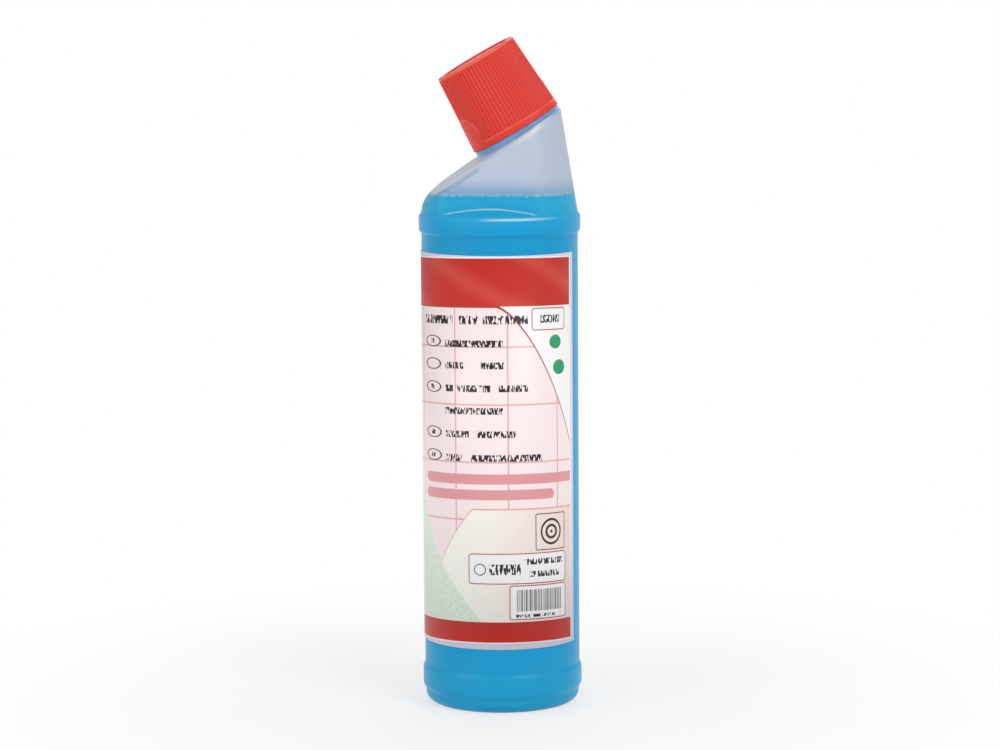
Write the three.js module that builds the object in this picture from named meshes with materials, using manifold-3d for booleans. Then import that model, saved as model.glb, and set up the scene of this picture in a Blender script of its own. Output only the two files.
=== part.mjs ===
// Toilet cleaner bottle: a blown round bottle with a hood that carries a neck tilted to one side,
// its liquid, a pressed-in nozzle, a foam-lined ribbed screw cap and a printed wrap label.
// Millimetres, +Z up. The origin is the centre of the standing ring, on the surface it stands on.
// The chest, and the way the cap leans, is -X. The label's main face looks along -Y.
import * as THREE from 'three';
import { mergeVertices } from 'three/addons/utils/BufferGeometryUtils.js';
import Module from 'manifold-3d';

const wasm = await Module();
wasm.setup();

// Bottle body
const BODY_RADIUS = 34;
const WALL = 0.9;
const FOOT_INSET = 0.3;
const BASE_EDGE_RADIUS = 4.6;
const STANDING_RING_WIDTH = 7;
const PUSH_UP = 3;
const DOME_SHOULDER = 0.85;

// Beads that guard the label at the foot and under the shoulder
const LOWER_BEAD_Z = 5.7;
const LOWER_BEAD_HEIGHT = 12;
const LOWER_BEAD_STAND = 0.9;
const LOWER_BEAD_CHAMFER = 2.3;
const LOWER_BEAD_ROUND = 2.9;
const UPPER_BEAD_HEIGHT = 9.1;
const UPPER_BEAD_STAND = 1.1;
const UPPER_BEAD_CHAMFER = 1.5;

// Shoulder ledge and hood
const LEDGE_RISE_DEG = 18;
const LEDGE_FILLET = 0.8;
const HOOD_TAPER_DEG = 9.2;
const SIDE_HALF_WIDTH = 25.6;
const SIDE_TAPER_DEG = 5.5;
const SIDE_FLARE_DEG = 12;
const SIDE_EDGE_RADIUS = 2.5;
const CHEST_SLOPE_DEG = 34.1;
const CHEST_MARGIN = 1.8;
const TOP_EDGE_RADIUS = 3.2;
const BACK_EDGE_RADIUS = 1;
const FLOOR_TILT_DEG = 33;

// Neck, tilted towards -X, and its collar. The hood's top, the neck's floor, tilts a little more.
const NECK_TILT_DEG = 30;
const NECK_BASE_X = 8.6;
const NECK_BASE_RISE = 34.1;
const NECK_RADIUS = 13.9;
const NECK_WALL = 2.4;
const NECK_LENGTH = 27.5;
const RIM_CHAMFER = 0.5;
const COLLAR_WIDTH = 6.5;
const COLLAR_HEIGHT = 2.1;

// Liquid, with its level above the shoulder
const LIQUID_RISE = 8.4;
const LIQUID_GAP = 0.5;

// Nozzle pressed into the neck
const FIT_GAP = 0.3;
const NOZZLE_WALL = 1.2;
const NOZZLE_SKIRT_LENGTH = 9;
const NOZZLE_FLANGE_MARGIN = 0.4;
const NOZZLE_FLANGE = 1.2;
const SPOUT_HEIGHT = 4.6;
const SPOUT_STEP = 0.4;
const SPOUT_TAPER = 4;
const ORIFICE_RADIUS = 3;

// Foam liner and screw cap
const LINER_THICKNESS = 1.5;
const LINER_CLEARANCE = 0.4;
const CAP_OVERHANG = 0.5;
const CAP_TAPER = 2.25;
const CAP_WALL = 1.4;
const CAP_TOP_WALL = 1.2;
const CAP_EDGE_RADIUS = 1;
const TOP_RIM_WIDTH = 1.6;
const TOP_RECESS = 0.7;
const THREAD_CLEARANCE = 1.3;
const INNER_SKIRT_WALL = 1.1;
const INNER_SKIRT_LIFT = 4;
const RIB_COUNT = 72;
const RIB_DEPTH = 0.35;
const BAND_HEIGHT = 2.9;
const PAD_HALF_WIDTH = 8.3;
const PAD_HEIGHT = 15.3;
const PAD_ANGLE_DEG = 19;

// Wrap label on the straight wall between the beads. The strip that it leaves bare lies at the
// back, and its two halves mirror each other.
const LABEL_HEIGHT = 170.5;
const LABEL_MARGIN_BELOW = 11;
const LABEL_MARGIN_ABOVE = 7.3;
const LABEL_THICKNESS = 0.2;
const LABEL_GAP = 0.1;
const LABEL_HALF_ANGLE_DEG = 152.5;
const PRINT_THICKNESS = 0.1;
const PRINT_GAP = 0.05;
const SIDE_BORDER_DEG = 5;
const TOP_BORDER = 2.3;
const BOTTOM_BORDER = 1.6;
const HEADER_HEIGHT = 21.2;
const FOOTER_HEIGHT = 8.2;
const PANEL_RISE = 61.3;
const SWEEP_START_DEG = 83;
const SWEEP_DROP = 60;
const SWEEP_BEND = 1.4;
const WEDGE_START_DEG = 15;
const WEDGE_END_DEG = 79;
const WEDGE_BEND = 0.8;
const FIELD_GAP = 0.6;
const BAR_START_DEG = 19;
const BAR_HEIGHT = 4.5;
const BAR_PITCH = 6.6;
const UPPER_BAR_END_DEG = 146;
const LOWER_BAR_END_DEG = 129;

// Fineness of the round stretches
const SIDES = 48;
const BASE_ARC_STEPS = 4;
const ARCH_STEPS = 5;
const LEVEL_SECTIONS = 6;
const TILTED_SECTIONS = 10;
const TURN_MARGIN = 5.6;
const CUT_MARGIN = 1;
const SECTION_CROWDING = 2.2;
const SEARCH_STEPS = 40;
const MERGE_TOLERANCE = 1e-4;
const ANGLE_TOLERANCE = 1e-6;

const rad = THREE.MathUtils.degToRad;
const STEP_ANGLE = (2 * Math.PI) / SIDES;

// Places worked out from the sizes above
const labelBottom = LOWER_BEAD_Z + LOWER_BEAD_HEIGHT + LABEL_MARGIN_BELOW;
const labelTop = labelBottom + LABEL_HEIGHT;
const shoulderZ = labelTop + LABEL_MARGIN_ABOVE + UPPER_BEAD_HEIGHT;
const liquidLevel = shoulderZ + LIQUID_RISE;
const neckTilt = rad(NECK_TILT_DEG);
const floorTilt = rad(FLOOR_TILT_DEG);
const neckBase = new THREE.Vector3(NECK_BASE_X, 0, shoulderZ + NECK_BASE_RISE);
const neckAxis = new THREE.Vector3(-Math.sin(neckTilt), 0, Math.cos(neckTilt));
const neckAcross = new THREE.Vector3(Math.cos(neckTilt), 0, Math.sin(neckTilt));
const floorAxis = new THREE.Vector3(-Math.sin(floorTilt), 0, Math.cos(floorTilt));
const floorAcross = new THREE.Vector3(Math.cos(floorTilt), 0, Math.sin(floorTilt));
const collarRadius = NECK_RADIUS + COLLAR_WIDTH;
const boreRadius = NECK_RADIUS - NECK_WALL;
const chestTop = neckBase.clone().addScaledVector(floorAcross, -(collarRadius + CHEST_MARGIN));
const capBottom = COLLAR_HEIGHT + FIT_GAP;
const flangeBottom = NECK_LENGTH + FIT_GAP;
const spoutTop = flangeBottom + NOZZLE_FLANGE + SPOUT_HEIGHT;
const linerBottom = spoutTop + FIT_GAP;
const capCeiling = linerBottom + LINER_THICKNESS + FIT_GAP;
const capTop = capCeiling + CAP_TOP_WALL + TOP_RECESS;
const capFootRadius = collarRadius + CAP_OVERHANG;
const skirtInner = NECK_RADIUS + THREAD_CLEARANCE;
const skirtOuter = skirtInner + INNER_SKIRT_WALL;

// Rounded joins of two distances: r is the size of the rounding
function roundedBoth(a, b, r) {
  return Math.min(-r, Math.max(a, b)) + Math.hypot(Math.max(r + a, 0), Math.max(r + b, 0));
}

function roundedEither(a, b, r) {
  return Math.max(r, Math.min(a, b)) - Math.hypot(Math.max(r - a, 0), Math.max(r - b, 0));
}

// Distance outside the shoulder and hood: negative inside the plastic's outer face
function hoodDistance(p) {
  const r = Math.hypot(p.x, p.y);
  const rise = p.z - shoulderZ;
  const taper = rad(HOOD_TAPER_DEG);
  const cone = (r - BODY_RADIUS) * Math.cos(taper) + rise * Math.sin(taper);
  const flare = rad(SIDE_FLARE_DEG);
  const across = Math.abs(p.y) * Math.cos(flare) - p.x * Math.sin(flare) - SIDE_HALF_WIDTH;
  const lean = rad(SIDE_TAPER_DEG);
  const side = across * Math.cos(lean) + rise * Math.sin(lean);
  const slope = rad(CHEST_SLOPE_DEG);
  const chest = (p.z - chestTop.z) * Math.cos(slope) - (p.x - chestTop.x) * Math.sin(slope);
  const neckFloor = p.clone().sub(neckBase).dot(floorAxis);
  const walls = roundedBoth(cone, side, SIDE_EDGE_RADIUS);
  const front = roundedBoth(walls, chest, TOP_EDGE_RADIUS);
  const flank = roundedBoth(side, neckFloor, TOP_EDGE_RADIUS);
  const hood = Math.max(front, flank, roundedBoth(cone, neckFloor, BACK_EDGE_RADIUS));
  const ledgeRise = rad(LEDGE_RISE_DEG);
  const ledgeTop = rise * Math.cos(ledgeRise) - (BODY_RADIUS - r) * Math.sin(ledgeRise);
  const ledge = Math.max(ledgeTop, r - BODY_RADIUS);
  return Math.max(roundedEither(hood, ledge, LEDGE_FILLET), r - BODY_RADIUS);
}

// One ring of the hood, inset from its outer face, in the plane through center tilted by tilt
function hoodRing(center, tilt, inset) {
  const ring = [];
  for (let i = 0; i < SIDES; i += 1) {
    const angle = i * STEP_ANGLE;
    const x = Math.cos(angle);
    const ray = new THREE.Vector3(x * Math.cos(tilt), Math.sin(angle), x * Math.sin(tilt));
    let inside = 0;
    let outside = 2 * BODY_RADIUS;
    for (let k = 0; k < SEARCH_STEPS; k += 1) {
      const reach = (inside + outside) / 2;
      const point = center.clone().addScaledVector(ray, reach);
      if (hoodDistance(point) + inset < 0) inside = reach;
      else outside = reach;
    }
    ring.push(center.clone().addScaledVector(ray, inside));
  }
  return ring;
}

// Level rings from the shoulder up to a height, with each inset ring lower by the ledge's slope
function levelRings(topZ, inset) {
  const ledgeRise = rad(LEDGE_RISE_DEG);
  const startZ = shoulderZ - inset / Math.cos(ledgeRise) + inset * Math.tan(ledgeRise);
  const rings = [];
  for (let i = 0; i <= LEVEL_SECTIONS; i += 1) {
    const z = startZ + (topZ - startZ) * (i / LEVEL_SECTIONS);
    rings.push(hoodRing(new THREE.Vector3(0, 0, z), 0, inset));
  }
  return rings;
}

// Where the tilting planes turn: beyond the chest, on the neck's floor plane set in by inset
function turningPoint(inset) {
  const x = -(BODY_RADIUS + TURN_MARGIN);
  const z = neckBase.z + (x - neckBase.x) * Math.tan(floorTilt) - inset / Math.cos(floorTilt);
  return new THREE.Vector3(x, 0, z);
}

// Rings of the whole hood, from the shoulder to just under the neck's floor
function hoodRings(inset) {
  const turn = turningPoint(inset);
  const rings = levelRings(turn.z, inset);
  for (let i = 1; i < TILTED_SECTIONS; i += 1) {
    const share = 1 - (1 - i / TILTED_SECTIONS) ** SECTION_CROWDING;
    const tilt = floorTilt * share;
    const centerX = neckBase.x * share;
    const center = new THREE.Vector3(centerX, 0, turn.z + (centerX - turn.x) * Math.tan(tilt));
    rings.push(hoodRing(center, tilt, inset));
  }
  return rings;
}

function bodyRing(radius, z) {
  const ring = [];
  for (let i = 0; i < SIDES; i += 1) {
    const angle = i * STEP_ANGLE;
    ring.push(new THREE.Vector3(radius * Math.cos(angle), radius * Math.sin(angle), z));
  }
  return ring;
}

function neckRing(radius, height) {
  const center = neckBase.clone().addScaledVector(neckAxis, height);
  const ring = [];
  for (let i = 0; i < SIDES; i += 1) {
    const angle = i * STEP_ANGLE;
    const point = center.clone().addScaledVector(neckAcross, radius * Math.cos(angle));
    point.y += radius * Math.sin(angle);
    ring.push(point);
  }
  return ring;
}

// A ring of the neck's own cylinder where it meets the floor, set in by inset
function floorRing(radius, inset) {
  const extraTilt = floorTilt - neckTilt;
  const ring = neckRing(radius, -inset / Math.cos(extraTilt));
  ring.forEach((point, i) => {
    const rise = radius * Math.cos(i * STEP_ANGLE) * Math.tan(extraTilt);
    point.addScaledVector(neckAxis, rise);
  });
  return ring;
}

// Closed skin over a row of rings: a ring of one point closes an end
function skin(rings) {
  const positions = [];
  const face = (a, b, c) => positions.push(...a.toArray(), ...b.toArray(), ...c.toArray());
  for (let k = 0; k + 1 < rings.length; k += 1) {
    const low = rings[k];
    const high = rings[k + 1];
    const count = Math.max(low.length, high.length);
    for (let i = 0; i < count; i += 1) {
      const next = (i + 1) % count;
      if (low.length === 1) face(low[0], high[next], high[i]);
      else if (high.length === 1) face(low[i], low[next], high[0]);
      else {
        face(low[i], low[next], high[next]);
        face(low[i], high[next], high[i]);
      }
    }
  }
  const geometry = new THREE.BufferGeometry();
  geometry.setAttribute('position', new THREE.Float32BufferAttribute(positions, 3));
  geometry.computeVertexNormals();
  return geometry;
}

// Profile of the body below the shoulder, set in by inset, from the base centre upwards
function lowerRings(inset) {
  const footRadius = BODY_RADIUS - FOOT_INSET;
  const edgeStart = footRadius - BASE_EDGE_RADIUS;
  const ringInner = edgeStart - STANDING_RING_WIDTH;
  const rings = [[new THREE.Vector3(0, 0, PUSH_UP + inset)]];
  rings.push(bodyRing(ringInner / 2, PUSH_UP * DOME_SHOULDER + inset));
  rings.push(bodyRing(ringInner, inset));
  const edgeRadius = BASE_EDGE_RADIUS - inset;
  for (let i = 0; i <= BASE_ARC_STEPS; i += 1) {
    const angle = (Math.PI / 2) * (i / BASE_ARC_STEPS);
    const radius = edgeStart + edgeRadius * Math.sin(angle);
    rings.push(bodyRing(radius, BASE_EDGE_RADIUS - edgeRadius * Math.cos(angle)));
  }
  return rings;
}

// The lower bead's top is a quarter of an ellipse, with one ring halfway round it
function lowerBeadRings() {
  const top = LOWER_BEAD_Z + LOWER_BEAD_HEIGHT;
  const crest = BODY_RADIUS + LOWER_BEAD_STAND;
  const roundStart = top - LOWER_BEAD_ROUND;
  return [
    bodyRing(BODY_RADIUS - FOOT_INSET, LOWER_BEAD_Z),
    bodyRing(crest, LOWER_BEAD_Z + LOWER_BEAD_CHAMFER),
    bodyRing(crest, roundStart),
    bodyRing(
      BODY_RADIUS + LOWER_BEAD_STAND * Math.SQRT1_2,
      roundStart + LOWER_BEAD_ROUND * Math.SQRT1_2,
    ),
    bodyRing(BODY_RADIUS, top),
  ];
}

function upperBeadRings() {
  const bottom = shoulderZ - UPPER_BEAD_HEIGHT;
  const crest = BODY_RADIUS + UPPER_BEAD_STAND;
  return [
    bodyRing(BODY_RADIUS, bottom),
    bodyRing(crest, bottom + UPPER_BEAD_CHAMFER),
    bodyRing(crest, shoulderZ - UPPER_BEAD_CHAMFER),
  ];
}

function neckRings() {
  return [
    floorRing(collarRadius, 0),
    neckRing(collarRadius, COLLAR_HEIGHT),
    neckRing(NECK_RADIUS, COLLAR_HEIGHT),
    neckRing(NECK_RADIUS, NECK_LENGTH - RIM_CHAMFER),
    neckRing(NECK_RADIUS - RIM_CHAMFER, NECK_LENGTH),
    neckRing(boreRadius, NECK_LENGTH),
    floorRing(boreRadius, WALL),
  ];
}

// The blown bottle in one skin: up the outside, over the rim and down the inside
function makeBottle() {
  const outside = [...lowerRings(0), ...lowerBeadRings(), ...upperBeadRings(), ...hoodRings(0)];
  const inside = [...lowerRings(WALL), ...hoodRings(WALL)].reverse();
  return skin([...outside, ...neckRings(), ...inside]);
}

// Ring solids of the neck's own parts, turned about the local Z axis
function turned(profile) {
  const points = profile.map(([radius, height]) => new THREE.Vector2(radius, height));
  const geometry = new THREE.LatheGeometry(points, SIDES);
  return geometry.rotateX(Math.PI / 2);
}

function makeNozzle() {
  const outer = boreRadius - FIT_GAP;
  const inner = outer - NOZZLE_WALL;
  const flangeTop = flangeBottom + NOZZLE_FLANGE;
  const spoutBase = inner - SPOUT_STEP;
  const profile = [
    [inner, flangeBottom - NOZZLE_SKIRT_LENGTH],
    [outer, flangeBottom - NOZZLE_SKIRT_LENGTH],
    [outer, flangeBottom],
    [NECK_RADIUS - NOZZLE_FLANGE_MARGIN, flangeBottom],
    [NECK_RADIUS - NOZZLE_FLANGE_MARGIN, flangeTop],
    [spoutBase, flangeTop],
    [spoutBase - SPOUT_TAPER, spoutTop],
    [ORIFICE_RADIUS, spoutTop],
    [ORIFICE_RADIUS, spoutTop - NOZZLE_WALL],
    [spoutBase - NOZZLE_WALL, flangeBottom],
    [inner, flangeBottom],
    [inner, flangeBottom - NOZZLE_SKIRT_LENGTH],
  ];
  return turned(profile);
}

function makeLiner() {
  const radius = skirtInner - LINER_CLEARANCE;
  const geometry = new THREE.CylinderGeometry(radius, radius, LINER_THICKNESS, SIDES);
  return geometry.rotateX(Math.PI / 2).translate(0, 0, linerBottom + LINER_THICKNESS / 2);
}

function capRadius(height) {
  return capFootRadius - CAP_TAPER * ((height - capBottom) / (capTop - capBottom));
}

// The two squeeze pads are smooth arches that interrupt the ribs
function onPad(angle, height) {
  const turn = Math.abs(Math.sin(angle - rad(PAD_ANGLE_DEG)));
  const across = capRadius(height) * Math.asin(turn);
  const above = height - capBottom - (PAD_HEIGHT - PAD_HALF_WIDTH);
  if (above <= 0) return across < PAD_HALF_WIDTH;
  return Math.hypot(across, above) < PAD_HALF_WIDTH;
}

function capRing(height, inset, ribbed) {
  const ring = [];
  for (let i = 0; i < 2 * RIB_COUNT; i += 1) {
    const angle = (i * Math.PI) / RIB_COUNT;
    const valley = ribbed && i % 2 === 1 && !onPad(angle, height);
    const radius = capRadius(height) - inset - (valley ? RIB_DEPTH : 0);
    ring.push(new THREE.Vector3(radius * Math.cos(angle), radius * Math.sin(angle), height));
  }
  return ring;
}

function capShell() {
  const ribStart = capBottom + BAND_HEIGHT;
  const archStart = capBottom + PAD_HEIGHT - PAD_HALF_WIDTH;
  const padTop = capBottom + PAD_HEIGHT;
  const ribEnd = capTop - CAP_EDGE_RADIUS - RIB_DEPTH;
  const edgeMiddle = CAP_EDGE_RADIUS * (1 - Math.SQRT1_2);
  const rings = [[new THREE.Vector3(0, 0, capBottom)]];
  rings.push(capRing(capBottom, 0, false));
  rings.push(capRing(ribStart, 0, false));
  rings.push(capRing(ribStart + RIB_DEPTH, 0, true));
  for (let i = 0; i <= ARCH_STEPS; i += 1) {
    const share = Math.sin((Math.PI / 2) * (i / ARCH_STEPS));
    rings.push(capRing(archStart + (padTop - archStart) * share, 0, true));
  }
  rings.push(capRing(ribEnd, 0, true));
  rings.push(capRing(capTop - CAP_EDGE_RADIUS, 0, false));
  rings.push(capRing(capTop - edgeMiddle, edgeMiddle, false));
  rings.push(capRing(capTop, CAP_EDGE_RADIUS, false));
  rings.push(capRing(capTop, CAP_EDGE_RADIUS + TOP_RIM_WIDTH, false));
  rings.push(capRing(capTop - TOP_RECESS, CAP_EDGE_RADIUS + TOP_RIM_WIDTH, false));
  rings.push([new THREE.Vector3(0, 0, capTop - TOP_RECESS)]);
  return skin(rings);
}

// The space inside the cap: around the inner skirt that carries the thread, and inside it
function capHollow() {
  const skirtBottom = capBottom + INNER_SKIRT_LIFT;
  const below = capBottom - CUT_MARGIN;
  return turned([
    [0, below],
    [capRadius(below) - CAP_WALL, below],
    [capRadius(capCeiling) - CAP_WALL, capCeiling],
    [skirtOuter, capCeiling],
    [skirtOuter, skirtBottom],
    [skirtInner, skirtBottom],
    [skirtInner, capCeiling],
    [0, capCeiling],
  ]);
}

function toSolid(geometry) {
  const bare = geometry.clone();
  bare.deleteAttribute('normal');
  bare.deleteAttribute('uv');
  const merged = mergeVertices(bare, MERGE_TOLERANCE);
  const vertProperties = new Float32Array(merged.attributes.position.array);
  const triVerts = new Uint32Array(merged.index.array);
  return new wasm.Manifold(new wasm.Mesh({ numProp: 3, vertProperties, triVerts }));
}

function toGeometry(solid) {
  const mesh = solid.getMesh();
  const corners = new Float32Array(mesh.vertProperties);
  const faces = new Uint32Array(mesh.triVerts);
  const geometry = new THREE.BufferGeometry();
  geometry.setAttribute('position', new THREE.BufferAttribute(corners, 3));
  geometry.setIndex(new THREE.BufferAttribute(faces, 1));
  const flat = geometry.toNonIndexed();
  flat.computeVertexNormals();
  return flat;
}

// The liquid fills the inside of the skin up to its level
function makeLiquid() {
  const inset = WALL + LIQUID_GAP;
  const rings = [...lowerRings(inset), ...hoodRings(inset)];
  const peak = neckBase.clone().addScaledVector(floorAxis, -inset);
  const full = toSolid(skin([...rings, [peak]]));
  const span = 4 * BODY_RADIUS;
  const air = new THREE.BoxGeometry(span, span, span).translate(0, 0, liquidLevel + span / 2);
  return toGeometry(full.subtract(toSolid(air)));
}

function makeCap() {
  return toGeometry(toSolid(capShell()).subtract(toSolid(capHollow())));
}

// Radius of the faceted wall at an angle, so that a sheet on it lies flat on its facets
function facetRadius(radius, angle) {
  const half = STEP_ANGLE / 2;
  const facet = Math.floor(angle / STEP_ANGLE + ANGLE_TOLERANCE);
  const turn = angle - facet * STEP_ANGLE - half;
  return (radius * Math.cos(half)) / Math.cos(turn);
}

// A thin sheet around the body. Angles run from the chest towards the label's main face.
function sheet(startDeg, endDeg, low, high, radius, thickness) {
  const angles = [rad(startDeg)];
  const first = Math.floor(rad(startDeg) / STEP_ANGLE + ANGLE_TOLERANCE) + 1;
  const end = rad(endDeg) - ANGLE_TOLERANCE;
  for (let i = first; i * STEP_ANGLE < end; i += 1) angles.push(i * STEP_ANGLE);
  angles.push(rad(endDeg));
  const rings = angles.map((angle) => {
    const around = Math.PI + angle;
    const away = Math.abs(THREE.MathUtils.radToDeg(angle));
    const corner = (r, z) => new THREE.Vector3(r * Math.cos(around), r * Math.sin(around), z);
    const inner = facetRadius(radius, angle);
    const outer = facetRadius(radius + thickness, angle);
    const bottom = low(away);
    const top = high(away);
    return [corner(inner, bottom), corner(inner, top), corner(outer, top), corner(outer, bottom)];
  });
  const middle = (ring) => [ring[0].clone().add(ring[2]).multiplyScalar(0.5)];
  return skin([middle(rings[0]), ...rings, middle(rings[rings.length - 1])]);
}

const level = (z) => () => z;
const labelRadius = BODY_RADIUS + LABEL_GAP;
const printRadius = labelRadius + LABEL_THICKNESS + PRINT_GAP;
const overprintRadius = printRadius + PRINT_THICKNESS + PRINT_GAP;
const printEdgeDeg = LABEL_HALF_ANGLE_DEG - SIDE_BORDER_DEG;
const headerTop = labelTop - TOP_BORDER;
const headerBottom = headerTop - HEADER_HEIGHT;
const footerBottom = labelBottom + BOTTOM_BORDER;
const footerTop = footerBottom + FOOTER_HEIGHT;
const panelBottom = labelBottom + PANEL_RISE;
const fieldBottom = footerTop + FIELD_GAP;
const fieldTop = panelBottom - FIELD_GAP;

function makeLabel() {
  const half = LABEL_HALF_ANGLE_DEG;
  return sheet(-half, half, level(labelBottom), level(labelTop), labelRadius, LABEL_THICKNESS);
}

function printed(startDeg, endDeg, low, high) {
  return sheet(startDeg, endDeg, low, high, printRadius, PRINT_THICKNESS);
}

// The pink panel's upper edge sweeps down from the header towards the label's ends
function sweepEdge(away) {
  const share = Math.max(0, (away - SWEEP_START_DEG) / (printEdgeDeg - SWEEP_START_DEG));
  return headerBottom - FIELD_GAP - SWEEP_DROP * share ** SWEEP_BEND;
}

// The green wedge's upper edge falls from the panel to the footer
function wedgeEdge(away) {
  const share = (away - WEDGE_START_DEG) / (WEDGE_END_DEG - WEDGE_START_DEG);
  const clamped = THREE.MathUtils.clamp(share, 0, 1);
  return fieldTop - (fieldTop - fieldBottom - FIELD_GAP) * clamped ** WEDGE_BEND;
}

function bar(order, endDeg) {
  const top = level(panelBottom + BAR_PITCH * (order + 1));
  const bottom = level(panelBottom + BAR_PITCH * (order + 1) - BAR_HEIGHT);
  return sheet(BAR_START_DEG, endDeg, bottom, top, overprintRadius, PRINT_THICKNESS);
}

function surface(color, roughness) {
  return new THREE.MeshStandardMaterial({ color, roughness, metalness: 0 });
}

const milkyPlastic = surface(0xb9cede, 0.4);
milkyPlastic.transparent = true;
milkyPlastic.opacity = 0.55;
const blueLiquid = surface(0x2f99c8, 0.1);
const whitePlastic = surface(0xe8eaec, 0.4);
const foam = surface(0xf2f2ee, 0.9);
const redPlastic = surface(0xd44437, 0.45);
const labelFilm = surface(0xf4f1f4, 0.35);
const headerRed = surface(0xc93e35, 0.35);
const footerRed = surface(0xb03024, 0.35);
const panelPink = surface(0xfde8e9, 0.35);
const barPink = surface(0xe29b9f, 0.35);
const wedgeGreen = surface(0xe4f0dd, 0.35);
const creamField = surface(0xfbf6ea, 0.35);

function piece(name, geometry, material) {
  const mesh = new THREE.Mesh(geometry, material);
  mesh.name = name;
  return mesh;
}

const toiletCleanerBottle = new THREE.Group();
toiletCleanerBottle.add(
  piece('bottle', makeBottle(), milkyPlastic),
  piece('cleaning_liquid', makeLiquid(), blueLiquid),
);

// Parts on the tilted neck, in the neck's own frame
const neckParts = new THREE.Group();
neckParts.position.copy(neckBase);
neckParts.rotation.y = -neckTilt;
neckParts.add(
  piece('nozzle_insert', makeNozzle(), whitePlastic),
  piece('cap_liner', makeLiner(), foam),
  piece('cap', makeCap(), redPlastic),
);
toiletCleanerBottle.add(neckParts);

const header = printed(-printEdgeDeg, printEdgeDeg, level(headerBottom), level(headerTop));
const footer = printed(-printEdgeDeg, printEdgeDeg, level(footerBottom), level(footerTop));
const panel = printed(-printEdgeDeg, printEdgeDeg, level(panelBottom), sweepEdge);
const wedge = printed(-WEDGE_END_DEG, WEDGE_END_DEG, level(fieldBottom), wedgeEdge);
toiletCleanerBottle.add(
  piece('wrap_label', makeLabel(), labelFilm),
  piece('label_header_print', header, headerRed),
  piece('label_footer_print', footer, footerRed),
  piece('label_panel_print', panel, panelPink),
  piece('label_wedge_print', wedge, wedgeGreen),
  piece('label_upper_bar_print', bar(1, UPPER_BAR_END_DEG), barPink),
  piece('label_lower_bar_print', bar(0, LOWER_BAR_END_DEG), barPink),
);

// The two cream fields mirror each other beside the green wedge
for (const [name, side] of [['near', 1], ['far', -1]]) {
  const ends = [side * WEDGE_END_DEG, side * printEdgeDeg].sort((a, b) => a - b);
  const field = printed(ends[0], ends[1], level(fieldBottom), level(fieldTop));
  toiletCleanerBottle.add(piece(`label_cream_print_${name}`, field, creamField));
}

export default toiletCleanerBottle;
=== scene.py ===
# Toilet cleaner bottle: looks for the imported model. Metres in the scene, millimetres in the sizes below.
import math

import bpy
import numpy as np
from mathutils import Matrix, Vector


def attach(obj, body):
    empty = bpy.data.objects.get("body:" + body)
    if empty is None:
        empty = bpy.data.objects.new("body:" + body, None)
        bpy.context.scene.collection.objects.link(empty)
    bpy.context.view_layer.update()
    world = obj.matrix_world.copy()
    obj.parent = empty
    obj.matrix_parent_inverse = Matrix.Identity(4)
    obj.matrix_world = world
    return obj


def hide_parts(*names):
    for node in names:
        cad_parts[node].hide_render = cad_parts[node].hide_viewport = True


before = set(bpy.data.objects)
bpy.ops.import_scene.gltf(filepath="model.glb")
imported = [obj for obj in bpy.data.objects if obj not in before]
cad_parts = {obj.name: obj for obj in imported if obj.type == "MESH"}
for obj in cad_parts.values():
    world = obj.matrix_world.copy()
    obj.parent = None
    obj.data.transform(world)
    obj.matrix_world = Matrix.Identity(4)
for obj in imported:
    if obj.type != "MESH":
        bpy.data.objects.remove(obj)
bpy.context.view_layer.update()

MM = 0.001

# Bottle and liquid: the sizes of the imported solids, a collar 0.2 higher, and the neck's thread
BODY_RADIUS = 34.0
WALL = 0.9
FOOT_INSET = 0.3
BASE_EDGE_RADIUS = 4.6
STANDING_RING_WIDTH = 7.0
PUSH_UP = 3.0
LOWER_BEAD_Z = 5.7
LOWER_BEAD_HEIGHT = 12.0
LOWER_BEAD_STAND = 0.9
LOWER_BEAD_SLOPE = 2.3
UPPER_BEAD_HEIGHT = 9.1
UPPER_BEAD_STAND = 1.1
UPPER_BEAD_SLOPE = 1.5
BEAD_RUN_OUT = 3.0
SHOULDER_Z = 215.6
LEDGE_RISE = math.radians(18)
LEDGE_FILLET = 0.8
HOOD_TAPER = math.radians(9.2)
SIDE_HALF_WIDTH = 25.6
SIDE_TAPER = math.radians(5.5)
SIDE_FLARE = math.radians(12)
SIDE_EDGE_RADIUS = 2.5
CHEST_SLOPE = math.radians(34.1)
CHEST_MARGIN = 1.8
TOP_EDGE_RADIUS = 3.2
BACK_EDGE_RADIUS = 1.0
NECK_TILT = math.radians(30)
NECK_BASE = np.array([8.6, 0.0, 249.7])
NECK_AXIS = np.array([-math.sin(NECK_TILT), 0.0, math.cos(NECK_TILT)])
NECK_ACROSS = np.array([math.cos(NECK_TILT), 0.0, math.sin(NECK_TILT)])
FLOOR_TILT = math.radians(33)
FLOOR_AXIS = np.array([-math.sin(FLOOR_TILT), 0.0, math.cos(FLOOR_TILT)])
FLOOR_ACROSS = np.array([math.cos(FLOOR_TILT), 0.0, math.sin(FLOOR_TILT)])
COLLAR_RADIUS = 20.4
COLLAR_HEIGHT = 2.1
COLLAR_SEEN = 2.3
NECK_RADIUS = 13.9
NECK_LENGTH = 27.5
BORE_RADIUS = 11.5
BORE_FOOT = 1.5
THREAD_HEIGHT = 0.95
THREAD_START = 12.0
THREAD_END = 22.5
THREAD_PITCH = 6.0
THREAD_WIDTH = 2.4
THREAD_ROOT = 0.3
THREAD_TAPER = 12
THREAD_TIP = 0.05
LIQUID_LEVEL = 224.0
LIQUID_GAP = 0.25
LIQUID_START = SHOULDER_Z - 1.2
LIQUID_EDGE_DIP = 0.25
LIQUID_MIDDLE_DIP = 0.3
LIQUID_EDGE_SHARE = 0.985

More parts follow.
